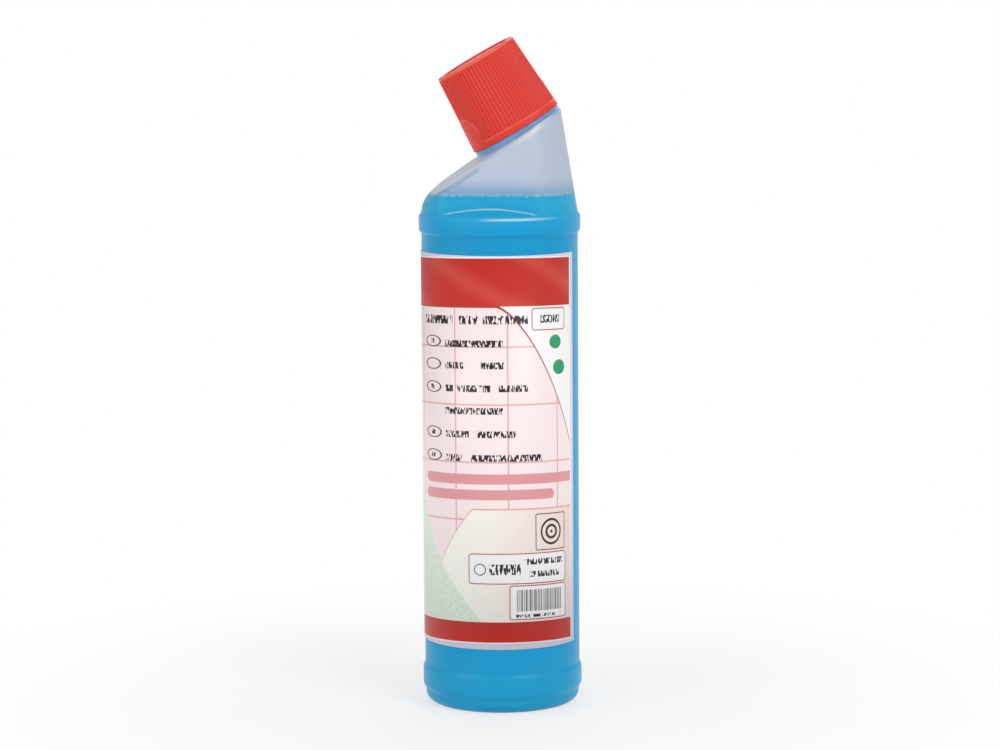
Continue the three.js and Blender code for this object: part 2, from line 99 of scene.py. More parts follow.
# Nozzle, liner and cap, along the neck's axis from the hood's top plane
FIT_GAP = 0.3
NOZZLE_WALL = 1.2
NOZZLE_SKIRT_LENGTH = 9.0
FLANGE_BOTTOM = NECK_LENGTH + FIT_GAP
FLANGE = 1.2
FLANGE_INSET = 0.4
SPOUT_TOP = FLANGE_BOTTOM + FLANGE + 4.6
SPOUT_FOOT_RADIUS = 9.6
SPOUT_TIP_RADIUS = 5.6
SPOUT_HOLE_RADIUS = 3.0
LINER_BOTTOM = SPOUT_TOP + FIT_GAP
LINER_THICKNESS = 1.5
LINER_RADIUS = 14.8
CAP_BOTTOM = COLLAR_HEIGHT + FIT_GAP
CAP_CEILING = LINER_BOTTOM + LINER_THICKNESS + FIT_GAP
CAP_TOP = CAP_CEILING + 1.9
CAP_RADIUS = 20.9
CAP_TAPER = 2.25
CAP_WALL = 1.4
CAP_EDGE_RADIUS = 0.9
RIM_WIDTH = 1.5
TOP_RECESS = 0.7
RIB_COUNT = 72
RIB_DEPTH = 0.4
RIB_SINK = 0.16
RIB_POWER = 1.3
RIB_END_FADE = (0.8, 2.2)
PAD_EDGE_FADE = 0.45
BAND_EDGE_FADE = 0.4
BAND_HEIGHT = 2.9
PAD_HALF_WIDTH = 8.3
PAD_HEIGHT = 15.3
PAD_ANGLE = math.radians(19)
SKIRT_LIFT = 4.0
SKIRT_INNER = NECK_RADIUS + 1.3
SKIRT_OUTER = SKIRT_INNER + 1.1

# Label
LABEL_BOTTOM = 28.7
LABEL_TOP = 199.2
LABEL_INNER = 34.1
LABEL_OUTER = 34.35
LABEL_HALF_ANGLE = math.radians(152.5)
LABEL_COLUMNS = 316
LABEL_ROWS = 2

# Fineness of the meshes
SIDES = 240
ROUND_SIDES = 120
BISECTIONS = 40
SHELL_LEVELS, SHELL_TILTS = 40, 60
INNER_LEVELS, INNER_TILTS = 16, 24
LIQUID_LEVELS = 20
DOME_STEPS = 8
RING_STEPS = 4
EDGE_STEPS = 10
CAP_EDGE_STEPS = 7
THREAD_STEPS = 96
DOME_POWER = 4
TILT_EASE = 2.2

# Camera at the photograph's place
CAMERA_DISTANCE = 1.456
CAMERA_HEIGHT = 0.328
CAMERA_SIDE = -0.00024
CAMERA_PITCH = math.radians(7.2045)
CAMERA_ROLL = math.radians(-0.40)
CAMERA_LENS = 120.85
CAMERA_AZIMUTH = math.radians(2.8)


def make_camera():
    data = bpy.data.cameras.new("camera")
    data.lens = CAMERA_LENS
    data.sensor_width = 36.0
    camera = bpy.data.objects.new("camera", data)
    bpy.context.scene.collection.objects.link(camera)
    turn = Matrix.Rotation(math.pi / 2 - CAMERA_PITCH, 4, "X") @ Matrix.Rotation(CAMERA_ROLL, 4, "Z")
    around = Matrix.Rotation(-CAMERA_AZIMUTH, 4, "Z")
    camera.matrix_world = around @ Matrix.Translation((CAMERA_SIDE, -CAMERA_DISTANCE, CAMERA_HEIGHT)) @ turn
    bpy.context.scene.camera = camera


make_camera()


# Meshes from rings of points

def add_mesh(name, points, faces, uv=None):
    mesh = bpy.data.meshes.new(name)
    mesh.from_pydata([tuple(p) for p in np.asarray(points) * MM], [], faces)
    if uv is not None:
        layer = mesh.uv_layers.new(name="label_mm")
        flat = np.asarray(uv)[[loop.vertex_index for loop in mesh.loops]]
        layer.data.foreach_set("uv", flat.astype(np.float32).ravel())
    mesh.validate()
    mesh.update()
    mesh.shade_smooth()
    obj = bpy.data.objects.new(name, mesh)
    bpy.context.scene.collection.objects.link(obj)
    return obj


def skin(name, rings):
    """A closed skin over rings of equal count; a ring of one point closes an end."""
    points = []
    starts = []
    for ring in rings:
        starts.append(len(points))
        points.extend(ring)
    faces = []
    for k in range(len(rings) - 1):
        low, high = starts[k], starts[k + 1]
        low_count, high_count = len(rings[k]), len(rings[k + 1])
        count = max(low_count, high_count)
        for i in range(count):
            j = (i + 1) % count
            if low_count == 1:
                faces.append((low, high + j, high + i))
            elif high_count == 1:
                faces.append((low + i, low + j, high))
            else:
                faces.append((low + i, low + j, high + j, high + i))
    return add_mesh(name, points, faces)


def closed_loop(name, rings):
    """A ring solid: the last ring joins the first."""
    count = len(rings[0])
    points = [p for ring in rings for p in ring]
    faces = []
    for k in range(len(rings)):
        low, high = k * count, ((k + 1) % len(rings)) * count
        for i in range(count):
            j = (i + 1) % count
            faces.append((low + i, low + j, high + j, high + i))
    return add_mesh(name, points, faces)


def circle(count=SIDES):
    angle = np.arange(count) * (2 * math.pi / count)
    return np.cos(angle), np.sin(angle)


def body_ring(radius, z):
    cos, sin = circle()
    return np.stack([radius * cos, radius * sin, np.full(SIDES, z)], axis=1)


def neck_ring(radius, height, count=SIDES):
    cos, sin = circle(count)
    center = NECK_BASE + NECK_AXIS * height
    ring = center + np.outer(radius * cos, NECK_ACROSS)
    ring[:, 1] += radius * sin
    return ring


def floor_ring(radius, inset):
    """Where the neck's own cylinder meets the hood's top, set in by inset."""
    extra = FLOOR_TILT - NECK_TILT
    cos, _ = circle()
    ring = neck_ring(radius, -inset / math.cos(extra))
    return ring + np.outer(radius * cos * math.tan(extra), NECK_AXIS)


def rounded_outline(corners, steps=4):
    """A row of (r, z) points through corners given as (r, z, rounding)."""
    points = []
    for k, (r, z, rounding) in enumerate(corners):
        here = np.array([r, z], float)
        if rounding <= 0 or k in (0, len(corners) - 1):
            points.append(here)
            continue
        before = np.array(corners[k - 1][:2], float) - here
        after = np.array(corners[k + 1][:2], float) - here
        start = before / np.linalg.norm(before)
        end = after / np.linalg.norm(after)
        half = math.acos(max(-1.0, min(1.0, float(start @ end)))) / 2
        reach = rounding / math.tan(half)
        for i in range(steps + 1):
            t = i / steps
            points.append(here + start * reach * (1 - t) ** 2 + end * reach * t ** 2)
    return points


# Shoulder and hood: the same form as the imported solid

def rounded_both(a, b, r):
    """Distance outside what lies within both a and b, with edges rounded by r."""
    return np.minimum(-r, np.maximum(a, b)) + np.hypot(np.maximum(r + a, 0), np.maximum(r + b, 0))


def rounded_either(a, b, r):
    """Distance outside what lies within a or b, with a fillet of r between them."""
    return np.maximum(r, np.minimum(a, b)) - np.hypot(np.maximum(r - a, 0), np.maximum(r - b, 0))


def hood_distance(points):
    """Distance outside the hood on its shoulder ledge, negative within."""
    x, y, z = points[:, 0], points[:, 1], points[:, 2]
    r = np.hypot(x, y)
    rise = z - SHOULDER_Z
    cone = (r - BODY_RADIUS) * math.cos(HOOD_TAPER) + rise * math.sin(HOOD_TAPER)
    across = np.abs(y) * math.cos(SIDE_FLARE) - x * math.sin(SIDE_FLARE) - SIDE_HALF_WIDTH
    side = across * math.cos(SIDE_TAPER) + rise * math.sin(SIDE_TAPER)
    top = NECK_BASE - FLOOR_ACROSS * (COLLAR_RADIUS + CHEST_MARGIN)
    chest = (z - top[2]) * math.cos(CHEST_SLOPE) - (x - top[0]) * math.sin(CHEST_SLOPE)
    floor = (points - NECK_BASE) @ FLOOR_AXIS
    walls = rounded_both(cone, side, SIDE_EDGE_RADIUS)
    front = rounded_both(walls, chest, TOP_EDGE_RADIUS)
    flank = rounded_both(side, floor, TOP_EDGE_RADIUS)
    back = rounded_both(cone, floor, BACK_EDGE_RADIUS)
    hood = np.maximum(front, np.maximum(flank, back))
    ledge_top = rise * math.cos(LEDGE_RISE) - (BODY_RADIUS - r) * math.sin(LEDGE_RISE)
    ledge = np.maximum(ledge_top, r - BODY_RADIUS)
    return np.maximum(rounded_either(hood, ledge, LEDGE_FILLET), r - BODY_RADIUS)


def hood_ring(center, tilt, inset):
    """Where rays from center meet the hood set in by inset, in a plane tilted about y."""
    cos, sin = circle()
    rays = np.stack([cos * math.cos(tilt), sin, cos * math.sin(tilt)], axis=1)
    inside = np.zeros(SIDES)
    outside = np.full(SIDES, 2 * BODY_RADIUS)
    for _ in range(BISECTIONS):
        reach = (inside + outside) / 2
        within = hood_distance(center + rays * reach[:, None]) + inset < 0
        inside = np.where(within, reach, inside)
        outside = np.where(within, outside, reach)
    return center + rays * inside[:, None]


def hood_rings(inset, level_count, tilted_count):
    turn_x = -(BODY_RADIUS + BASE_EDGE_RADIUS + 1)
    turn_z = NECK_BASE[2] + (turn_x - NECK_BASE[0]) * math.tan(FLOOR_TILT) - inset / math.cos(FLOOR_TILT)
    start_z = SHOULDER_Z - inset / math.cos(LEDGE_RISE) + inset * math.tan(LEDGE_RISE)
    rings = []
    for i in range(level_count + 1):
        z = start_z + (turn_z - start_z) * i / level_count
        rings.append(hood_ring(np.array([0.0, 0.0, z]), 0.0, inset))
    for i in range(1, tilted_count):
        share = 1 - (1 - i / tilted_count) ** TILT_EASE
        tilt = FLOOR_TILT * share
        x = NECK_BASE[0] * share
        center = np.array([x, 0.0, turn_z + (x - turn_x) * math.tan(tilt)])
        rings.append(hood_ring(center, tilt, inset))
    return rings


def base_outline(inset):
    """The foot from its pushed-up middle to the body wall, set in by inset."""
    foot = BODY_RADIUS - FOOT_INSET
    edge_start = foot - BASE_EDGE_RADIUS
    ring_inner = edge_start - STANDING_RING_WIDTH
    points = []
    for i in range(1, DOME_STEPS + 1):
        r = ring_inner * i / DOME_STEPS
        points.append((r, PUSH_UP * (1 - (r / ring_inner) ** DOME_POWER) + inset))
    for i in range(1, RING_STEPS):
        points.append((ring_inner + STANDING_RING_WIDTH * i / RING_STEPS, inset))
    for i in range(EDGE_STEPS + 1):
        angle = math.pi / 2 * i / EDGE_STEPS
        radius = BASE_EDGE_RADIUS - inset
        points.append((edge_start + radius * math.sin(angle), BASE_EDGE_RADIUS - radius * math.cos(angle)))
    return points


def body_outline():
    """The wall from the foot to the shoulder, with both beads."""
    bead_top = LOWER_BEAD_Z + LOWER_BEAD_HEIGHT
    low_crest = BODY_RADIUS + LOWER_BEAD_STAND
    high_foot = SHOULDER_Z - UPPER_BEAD_HEIGHT
    high_crest = BODY_RADIUS + UPPER_BEAD_STAND
    corners = [
        (BODY_RADIUS - FOOT_INSET, BASE_EDGE_RADIUS + 0.2, 0),
        (BODY_RADIUS - FOOT_INSET, LOWER_BEAD_Z, 0.6),
        (low_crest, LOWER_BEAD_Z + LOWER_BEAD_SLOPE, 1.2),
        (low_crest, bead_top - LOWER_BEAD_SLOPE, 4.0),
        (BODY_RADIUS, bead_top - 0.2, 1.6),
        (BODY_RADIUS, bead_top + BEAD_RUN_OUT, 0),
        (BODY_RADIUS, high_foot - BEAD_RUN_OUT, 0),
        (BODY_RADIUS, high_foot, 0.5),
        (high_crest, high_foot + UPPER_BEAD_SLOPE, 0.6),
        (high_crest, SHOULDER_Z - UPPER_BEAD_SLOPE, 0.7),
        (BODY_RADIUS, SHOULDER_Z, 0),
    ]
    return rounded_outline(corners)


def neck_outline():
    """The collar, the neck's outside, its mouth and its bore."""
    return rounded_outline([
        (COLLAR_RADIUS, COLLAR_SEEN - 0.6, 0),
        (COLLAR_RADIUS, COLLAR_SEEN, 0.15),
        (NECK_RADIUS, COLLAR_SEEN, 0.6),
        (NECK_RADIUS, NECK_LENGTH, 0.4),
        (BORE_RADIUS, NECK_LENGTH, 0.4),
        (BORE_RADIUS, BORE_FOOT, 0),
    ])


def make_bottle():
    rings = [np.array([[0.0, 0.0, PUSH_UP]])]
    rings += [body_ring(r, z) for r, z in base_outline(0.0)]
    rings += [body_ring(r, z) for r, z in body_outline()[:-1]]
    rings += hood_rings(0.0, SHELL_LEVELS, SHELL_TILTS)
    rings += [floor_ring(COLLAR_RADIUS + 0.5, 0.0), floor_ring(COLLAR_RADIUS + 0.1, -0.12)]
    rings += [neck_ring(r, h) for r, h in neck_outline()]
    rings.append(floor_ring(BORE_RADIUS, WALL))
    inside = [np.array([[0.0, 0.0, PUSH_UP + WALL]])]
    inside += [body_ring(r, z) for r, z in base_outline(WALL)]
    inside += hood_rings(WALL, INNER_LEVELS, INNER_TILTS)
    return skin("bottle_shell", rings + inside[::-1])


def make_liquid():
    inset = WALL + LIQUID_GAP
    rings = [np.array([[0.0, 0.0, PUSH_UP + inset]])]
    rings += [body_ring(r, z) for r, z in base_outline(inset)]
    levels = np.linspace(LIQUID_START, LIQUID_LEVEL, LIQUID_LEVELS + 1)
    rings += [hood_ring(np.array([0.0, 0.0, z]), 0.0, inset) for z in levels]
    shrink = np.array([LIQUID_EDGE_SHARE, LIQUID_EDGE_SHARE, 1.0])
    rings.append(rings[-1] * shrink - np.array([0.0, 0.0, LIQUID_EDGE_DIP]))
    rings.append(np.array([[0.0, 0.0, LIQUID_LEVEL - LIQUID_MIDDLE_DIP]]))
    return skin("liquid_body", rings)


def make_thread():
    """The helical ridge on the outside of the neck, with tapered ends."""
    turns = (THREAD_END - THREAD_START) / THREAD_PITCH
    count = int(turns * THREAD_STEPS)
    half = THREAD_WIDTH / 2
    points = []
    for i in range(count + 1):
        share = i / count
        angle = 2 * math.pi * turns * share
        middle = THREAD_START + (THREAD_END - THREAD_START) * share
        swell = min(1.0, THREAD_TAPER * share, THREAD_TAPER * (1 - share))
        tall = THREAD_HEIGHT * max(swell, THREAD_TIP)
        for r, lift in ((-THREAD_ROOT, -half), (-THREAD_ROOT, half), (tall, half / 2), (tall, -half / 2)):
            center = NECK_BASE + NECK_AXIS * (middle + lift)
            out = NECK_ACROSS * math.cos(angle) + np.array([0, math.sin(angle), 0])
            points.append(center + (NECK_RADIUS + r) * out)
    faces = []
    for i in range(count):
        for k in range(4):
            m = (k + 1) % 4
            faces.append((4 * i + 4 + k, 4 * i + 4 + m, 4 * i + m, 4 * i + k))
    faces.append((0, 1, 2, 3))
    last = 4 * count
    faces.append((last + 3, last + 2, last + 1, last))
    return add_mesh("neck_thread", points, faces)


def turned(name, corners):
    """A ring solid around the neck's axis, from corners of radius, height and rounding."""
    outline = rounded_outline(corners)
    return closed_loop(name, [neck_ring(r, h, ROUND_SIDES) for r, h in outline])


def make_nozzle():
    outer = BORE_RADIUS - FIT_GAP
    inner = outer - NOZZLE_WALL
    bottom = FLANGE_BOTTOM - NOZZLE_SKIRT_LENGTH
    flange_top = FLANGE_BOTTOM + FLANGE
    return turned("nozzle", [
        (inner, bottom + 2, 0),
        (inner, bottom, 0.3),
        (outer, bottom, 0.4),
        (outer, FLANGE_BOTTOM, 0.2),
        (NECK_RADIUS - FLANGE_INSET, FLANGE_BOTTOM, 0.3),
        (NECK_RADIUS - FLANGE_INSET, flange_top, 0.4),
        (SPOUT_FOOT_RADIUS, flange_top, 0.6),
        (SPOUT_TIP_RADIUS, SPOUT_TOP, 0.5),
        (SPOUT_HOLE_RADIUS, SPOUT_TOP, 0.3),
        (SPOUT_HOLE_RADIUS, SPOUT_TOP - NOZZLE_WALL, 0.2),
        (SPOUT_FOOT_RADIUS - NOZZLE_WALL, FLANGE_BOTTOM, 0.3),
        (inner, FLANGE_BOTTOM - 0.6, 0.2),
    ])


def make_liner():
    top = LINER_BOTTOM + LINER_THICKNESS
    rings = [neck_ring(0.0, LINER_BOTTOM, 1)]
    outline = rounded_outline([
        (LINER_RADIUS * 0.5, LINER_BOTTOM, 0),
        (LINER_RADIUS, LINER_BOTTOM, 0.3),
        (LINER_RADIUS, top, 0.3),
        (LINER_RADIUS * 0.5, top, 0),
    ])
    rings += [neck_ring(r, h, ROUND_SIDES) for r, h in outline]
    rings.append(neck_ring(0.0, top, 1))
    return skin("liner_disc", rings)


# Cap

RIB_SAMPLES = 8
CAP_SIDES = RIB_COUNT * RIB_SAMPLES


def cap_radius(height):
    return CAP_RADIUS - CAP_TAPER * (height - CAP_BOTTOM) / (CAP_TOP - CAP_BOTTOM)


def smooth_step(low, high, value):
    share = np.clip((value - low) / (high - low), 0, 1)
    return share * share * (3 - 2 * share)


def rib_sink(height):
    """How far the ribbed wall lies below the smooth band and pads, around the cap at a height."""
    angle = np.arange(CAP_SIDES) * (2 * math.pi / CAP_SIDES)
    turn = np.arcsin(np.abs(np.sin(angle - PAD_ANGLE)))
    across = cap_radius(height) * turn
    above = max(0.0, height - CAP_BOTTOM - (PAD_HEIGHT - PAD_HALF_WIDTH))
    outside_pad = np.hypot(across, above) - PAD_HALF_WIDTH
    above_band = height - CAP_BOTTOM - BAND_HEIGHT
    ribbed = smooth_step(0.0, PAD_EDGE_FADE, outside_pad) * smooth_step(0.0, BAND_EDGE_FADE, above_band)
    groove = np.sin(angle * RIB_COUNT / 2) ** 2
    ends = smooth_step(*RIB_END_FADE, CAP_TOP - height)
    return ribbed * (RIB_SINK + RIB_DEPTH * groove ** RIB_POWER * ends)


def cap_ring(height, inset=0.0, ribbed=True):
    angle = np.arange(CAP_SIDES) * (2 * math.pi / CAP_SIDES)
    radius = cap_radius(height) - inset - (rib_sink(height) if ribbed else 0)
    center = NECK_BASE + NECK_AXIS * height
    ring = center + np.outer(radius * np.cos(angle), NECK_ACROSS)
    ring[:, 1] += radius * np.sin(angle)
    return ring


def cap_side_heights():
    """Heights of the cap's rings, close together where the pads' arches bend and the ribs end."""
    band_top = CAP_BOTTOM + BAND_HEIGHT
    arch_low = CAP_BOTTOM + PAD_HEIGHT - PAD_HALF_WIDTH
    pad_top = CAP_BOTTOM + PAD_HEIGHT
    heights = [CAP_BOTTOM + 0.2, band_top - 0.1, band_top, band_top + 0.13, band_top + 0.27, band_top + 0.4]
    heights += list(np.linspace(band_top + 1.2, arch_low, 4))
    heights += [arch_low + PAD_HALF_WIDTH * math.sin(math.radians(3 * i)) for i in range(1, 30)]
    heights += [pad_top + 0.15 * i for i in range(0, 6)]
    heights += list(np.linspace(pad_top + 2, CAP_TOP - 2.4, 6))
    heights += list(np.linspace(CAP_TOP - 2.1, CAP_TOP - CAP_EDGE_RADIUS, 6))
    return heights


def make_cap():
    rings = [cap_ring(CAP_BOTTOM, 0.15, False), cap_ring(CAP_BOTTOM + 0.06, 0.04, False)]
    rings += [cap_ring(h) for h in cap_side_heights()]
    for i in range(1, CAP_EDGE_STEPS + 1):
        angle = math.pi / 2 * i / CAP_EDGE_STEPS
        inset = RIB_SINK + CAP_EDGE_RADIUS * (1 - math.cos(angle))
        rings.append(cap_ring(CAP_TOP - CAP_EDGE_RADIUS * (1 - math.sin(angle)), inset, False))
    rim = cap_radius(CAP_TOP) - RIB_SINK - CAP_EDGE_RADIUS
    top = rounded_outline([
        (rim, CAP_TOP, 0),
        (rim - RIM_WIDTH, CAP_TOP, 0.5),
        (rim - RIM_WIDTH - 0.4, CAP_TOP - TOP_RECESS, 0.4),
        (rim - 6, CAP_TOP - TOP_RECESS, 0),
        (rim * 0.3, CAP_TOP - TOP_RECESS - 0.05, 0),
    ])
    rings += [neck_ring(r, h, CAP_SIDES) for r, h in top[1:]]
    rings.append(neck_ring(0.0, CAP_TOP - TOP_RECESS - 0.05, 1))
    inner_low = cap_radius(CAP_BOTTOM) - CAP_WALL
    inner_high = cap_radius(CAP_CEILING) - CAP_WALL
    skirt_bottom = CAP_BOTTOM + SKIRT_LIFT
    hollow = rounded_outline([
        (inner_low, CAP_BOTTOM, 0),
        (inner_high, CAP_CEILING, 0.2),
        (SKIRT_OUTER, CAP_CEILING, 0.2),
        (SKIRT_OUTER, skirt_bottom, 0.3),
        (SKIRT_INNER, skirt_bottom, 0.3),
        (SKIRT_INNER, CAP_CEILING, 0.4),
        (3.0, CAP_CEILING, 0),
    ], 2)
    inside = [neck_ring(0.0, CAP_CEILING, 1)]
    inside += [neck_ring(r, h, CAP_SIDES) for r, h in hollow[::-1]]
    return skin("cap_shell", inside + rings)


# Label: a thin curved sheet with its print laid out in millimetres

def make_label():
    points, uv = [], []
    angles = np.linspace(-LABEL_HALF_ANGLE, LABEL_HALF_ANGLE, LABEL_COLUMNS + 1)
    heights = np.linspace(LABEL_BOTTOM, LABEL_TOP, LABEL_ROWS + 1)
    for radius in (LABEL_OUTER, LABEL_INNER):
        for z in heights:
            for angle in angles:
                around = math.pi + angle
                points.append((radius * math.cos(around), radius * math.sin(around), z))
                uv.append(((angle - math.pi / 2) * LABEL_OUTER * MM, z * MM))
    faces = []
    width = LABEL_COLUMNS + 1
    layer = width * (LABEL_ROWS + 1)
    for row in range(LABEL_ROWS):
        for i in range(LABEL_COLUMNS):
            a = row * width + i
            faces.append((a, a + 1, a + width + 1, a + width))
            b = a + layer
            faces.append((b, b + width, b + width + 1, b + 1))
    for i in range(LABEL_COLUMNS):
        faces.append((i, i + layer, i + 1 + layer, i + 1))
        top = LABEL_ROWS * width + i
        faces.append((top, top + 1, top + 1 + layer, top + layer))
    for row in range(LABEL_ROWS):
        left = row * width
        faces.append((left, left + width, left + width + layer, left + layer))
        right = left + LABEL_COLUMNS
        faces.append((right, right + layer, right + width + layer, right + width))
    return add_mesh("label_sheet", points, faces, uv)


# Materials

class Nodes:
    """A short way to build a material's node graph."""

    def __init__(self, name):
        self.material = bpy.data.materials.new(name)
        self.material.use_nodes = True
        self.tree = self.material.node_tree
        self.tree.nodes.clear()
        self.output = self.tree.nodes.new("ShaderNodeOutputMaterial")

    def node(self, kind, inputs=None, **settings):
        made = self.tree.nodes.new(kind)
        for key, value in settings.items():
            setattr(made, key, value)
        for key, value in (inputs or {}).items():
            self.put(made.inputs[key], value)
        return made

    def put(self, socket, value):
        if isinstance(value, bpy.types.NodeSocket):
            self.tree.links.new(value, socket)
        elif isinstance(value, (tuple, list)) and socket.type == "RGBA" and len(value) == 3:
            socket.default_value = (*value, 1.0)
        else:
            socket.default_value = value

    def math(self, operation, a, b=0.0, c=0.0):
        return self.node("ShaderNodeMath", {0: a, 1: b, 2: c}, operation=operation).outputs[0]

    def product(self, *values):
        """All values multiplied."""
        joined = values[0]
        for value in values[1:]:
            joined = self.math("MULTIPLY", joined, value)
        return joined

    def length(self, a, b):
        """Length of the vector (a, b)."""
        return self.math("SQRT", self.math("MULTIPLY_ADD", a, a, self.math("MULTIPLY", b, b)))

    def ramp(self, value, low, high):
        """0 below low, 1 above high, smooth between; high may lie below low."""
        made = self.node("ShaderNodeMapRange", {0: value, 1: low, 2: high, 3: 0.0, 4: 1.0},
                         interpolation_type="SMOOTHSTEP")
        return made.outputs[0]

    def band(self, value, rise, full, fade, end):
        """0 up to rise, 1 from full to fade, and 0 again from end."""
        return self.product(self.ramp(value, rise, full), self.ramp(value, end, fade))

    def mix(self, factor, a, b):
        made = self.node("ShaderNodeMix", data_type="RGBA")
        self.put(made.inputs[0], factor)
        self.put(made.inputs[6], a)
        self.put(made.inputs[7], b)
        return made.outputs[2]

    def place(self):
        return self.node("ShaderNodeTexCoord").outputs["Object"]

    def millimetres(self):
        return [self.math("MULTIPLY", part, 1 / MM) for part in self.parts(self.place())]

    def parts(self, vector):
        made = self.node("ShaderNodeSeparateXYZ", {0: vector})
        return made.outputs[0], made.outputs[1], made.outputs[2]

    def noise(self, vector, scale, detail=2.0, roughness=0.5):
        made = self.node("ShaderNodeTexNoise", {"Vector": vector, "Scale": scale, "Detail": detail,
                                                "Roughness": roughness})
        return made.outputs[0]

    def bump(self, height, strength, distance):
        made = self.node("ShaderNodeBump", {"Height": height, "Strength": strength, "Distance": distance})
        return made.outputs[0]

    def shader(self, **inputs):
        named = {key.replace("_", " "): value for key, value in inputs.items()}
        return self.node("ShaderNodeBsdfPrincipled", named)

    def finish(self, surface):
        self.tree.links.new(surface, self.output.inputs["Surface"])
        return self.material


def srgb(red, green, blue):
    """Linear colour of an sRGB colour given as 0 to 255."""
    linear = []
    for channel in (red, green, blue):
        value = channel / 255
        linear.append(value / 12.92 if value <= 0.04045 else ((value + 0.055) / 1.055) ** 2.4)
    return tuple(linear)


# Shell: the blue liquid seen through it, the milky empty hood above and the blue band under the cap, partly
# the collar's thicker plastic and partly painted shade of the cap; painted highlights and painted shade
# lines along edges

LIQUID_BLUE = srgb(16, 157, 212)
LIQUID_TOP_BLUE = srgb(40, 172, 220)
LIQUID_FOOT_BLUE = srgb(24, 160, 208)
GLINT_WHITE = (0.75, 0.92, 1.0)
MILK_LOW = srgb(140, 190, 232)
MILK_HIGH = srgb(214, 228, 250)
MILK_EDGE_HIGHLIGHT = srgb(222, 242, 255)
MILK_SHADE_LINE = srgb(140, 172, 216)
MILK_REAR_SHADE = srgb(180, 202, 216)
MILK_HIGHLIGHT_WHITE = (0.97, 0.97, 1.0)
FROTH_WHITE = srgb(196, 232, 246)
COLLAR_SHADE_BLUE = srgb(126, 182, 236)

# Fades and bands of colour, in millimetres, as the arguments of Nodes.ramp and Nodes.band
TOP_FADE = (205.0, 222.0)
FOOT_FADE = (30.0, 8.0)
MILK_FADE = (LIQUID_LEVEL, LIQUID_LEVEL + 8)
LEVEL_FADE = (LIQUID_LEVEL - 0.5, LIQUID_LEVEL + 0.5)
FROTH_FADE = (LIQUID_LEVEL + 1.6, LIQUID_LEVEL + 0.2)
REAR_SHADE_FADE = (8.0, 26.0)
CHEST_FADE = (-8.0, -11.0)
# Painted highlight rim and painted shade line along the chest's rounded edge
CHEST_HIGHLIGHT_RIM = (-1.0, -0.4)
CHEST_SHADE_LINE = (-3.2, -2.2, -1.6, -0.9)
# Painted highlight lines: one on the fillet of the hood's flat sides, one on the upper bead
FILLET_HIGHLIGHT_BAND = (0.12, 0.3, 0.6, 1.1)
FILLET_HIGHLIGHT_HEIGHTS = (SHOULDER_Z + 0.2, SHOULDER_Z + 0.6, 219.5, 221.0)
BEAD_HIGHLIGHT_BAND = (213.8, 214.3, 214.8, 215.3)
BEAD_HIGHLIGHT_REACH = (-14.0, 0.0, 10.0, 26.0)
# Painted highlight streak along the hood's rounded top edge
HIGHLIGHT_STREAK_BAND = (-2.8, -1.6, -0.6, 0.2)
HIGHLIGHT_STREAK_REACH = (2.0, 12.0, 15.0, 19.0)
# Painted shade of the cap over the collar below it
COLLAR_SHADE_FOOT = (-0.9, 0.1)
COLLAR_SHADE_BAND = (15.5, 18.5, COLLAR_RADIUS + 0.5, COLLAR_RADIUS + 1.8)
FROTH_SCALE = 700.0
FROTH_SWING = 1.5


def plane_distance(n, x, z, axis, start):
    """Distance along an axis of the side plane, counted from start."""
    reach = n.math("MULTIPLY_ADD", x, float(axis[0]), n.math("MULTIPLY", z, float(axis[2])))
    return n.math("SUBTRACT", reach, float(start @ axis))


def hood_side(n, x, y, z):
    """Distance outside the hood's flat sides, as in hood_distance."""
    across = n.math("MULTIPLY_ADD", n.math("ABSOLUTE", y), math.cos(SIDE_FLARE), -SIDE_HALF_WIDTH)
    across = n.math("MULTIPLY_ADD", x, -math.sin(SIDE_FLARE), across)
    rise = n.math("MULTIPLY_ADD", z, math.sin(SIDE_TAPER), -SHOULDER_Z * math.sin(SIDE_TAPER))
    return n.math("MULTIPLY_ADD", across, math.cos(SIDE_TAPER), rise)


def liquid_tone(n, x, y, z):
    """Blue, a little paler at top and foot, with painted highlight lines on the side's fillet and the upper
    bead.
    """
    color = n.mix(n.ramp(z, *TOP_FADE), LIQUID_BLUE, LIQUID_TOP_BLUE)
    color = n.mix(n.ramp(z, *FOOT_FADE), color, LIQUID_FOOT_BLUE)
    # Painted highlights in GLINT_WHITE along the side's fillet and the upper bead
    fillet = n.product(n.band(hood_side(n, x, y, z), *FILLET_HIGHLIGHT_BAND), n.band(z, *FILLET_HIGHLIGHT_HEIGHTS))
    bead = n.product(n.band(z, *BEAD_HIGHLIGHT_BAND), n.band(x, *BEAD_HIGHLIGHT_REACH))
    return n.mix(n.product(n.math("MAXIMUM", fillet, bead), 0.5), color, GLINT_WHITE)


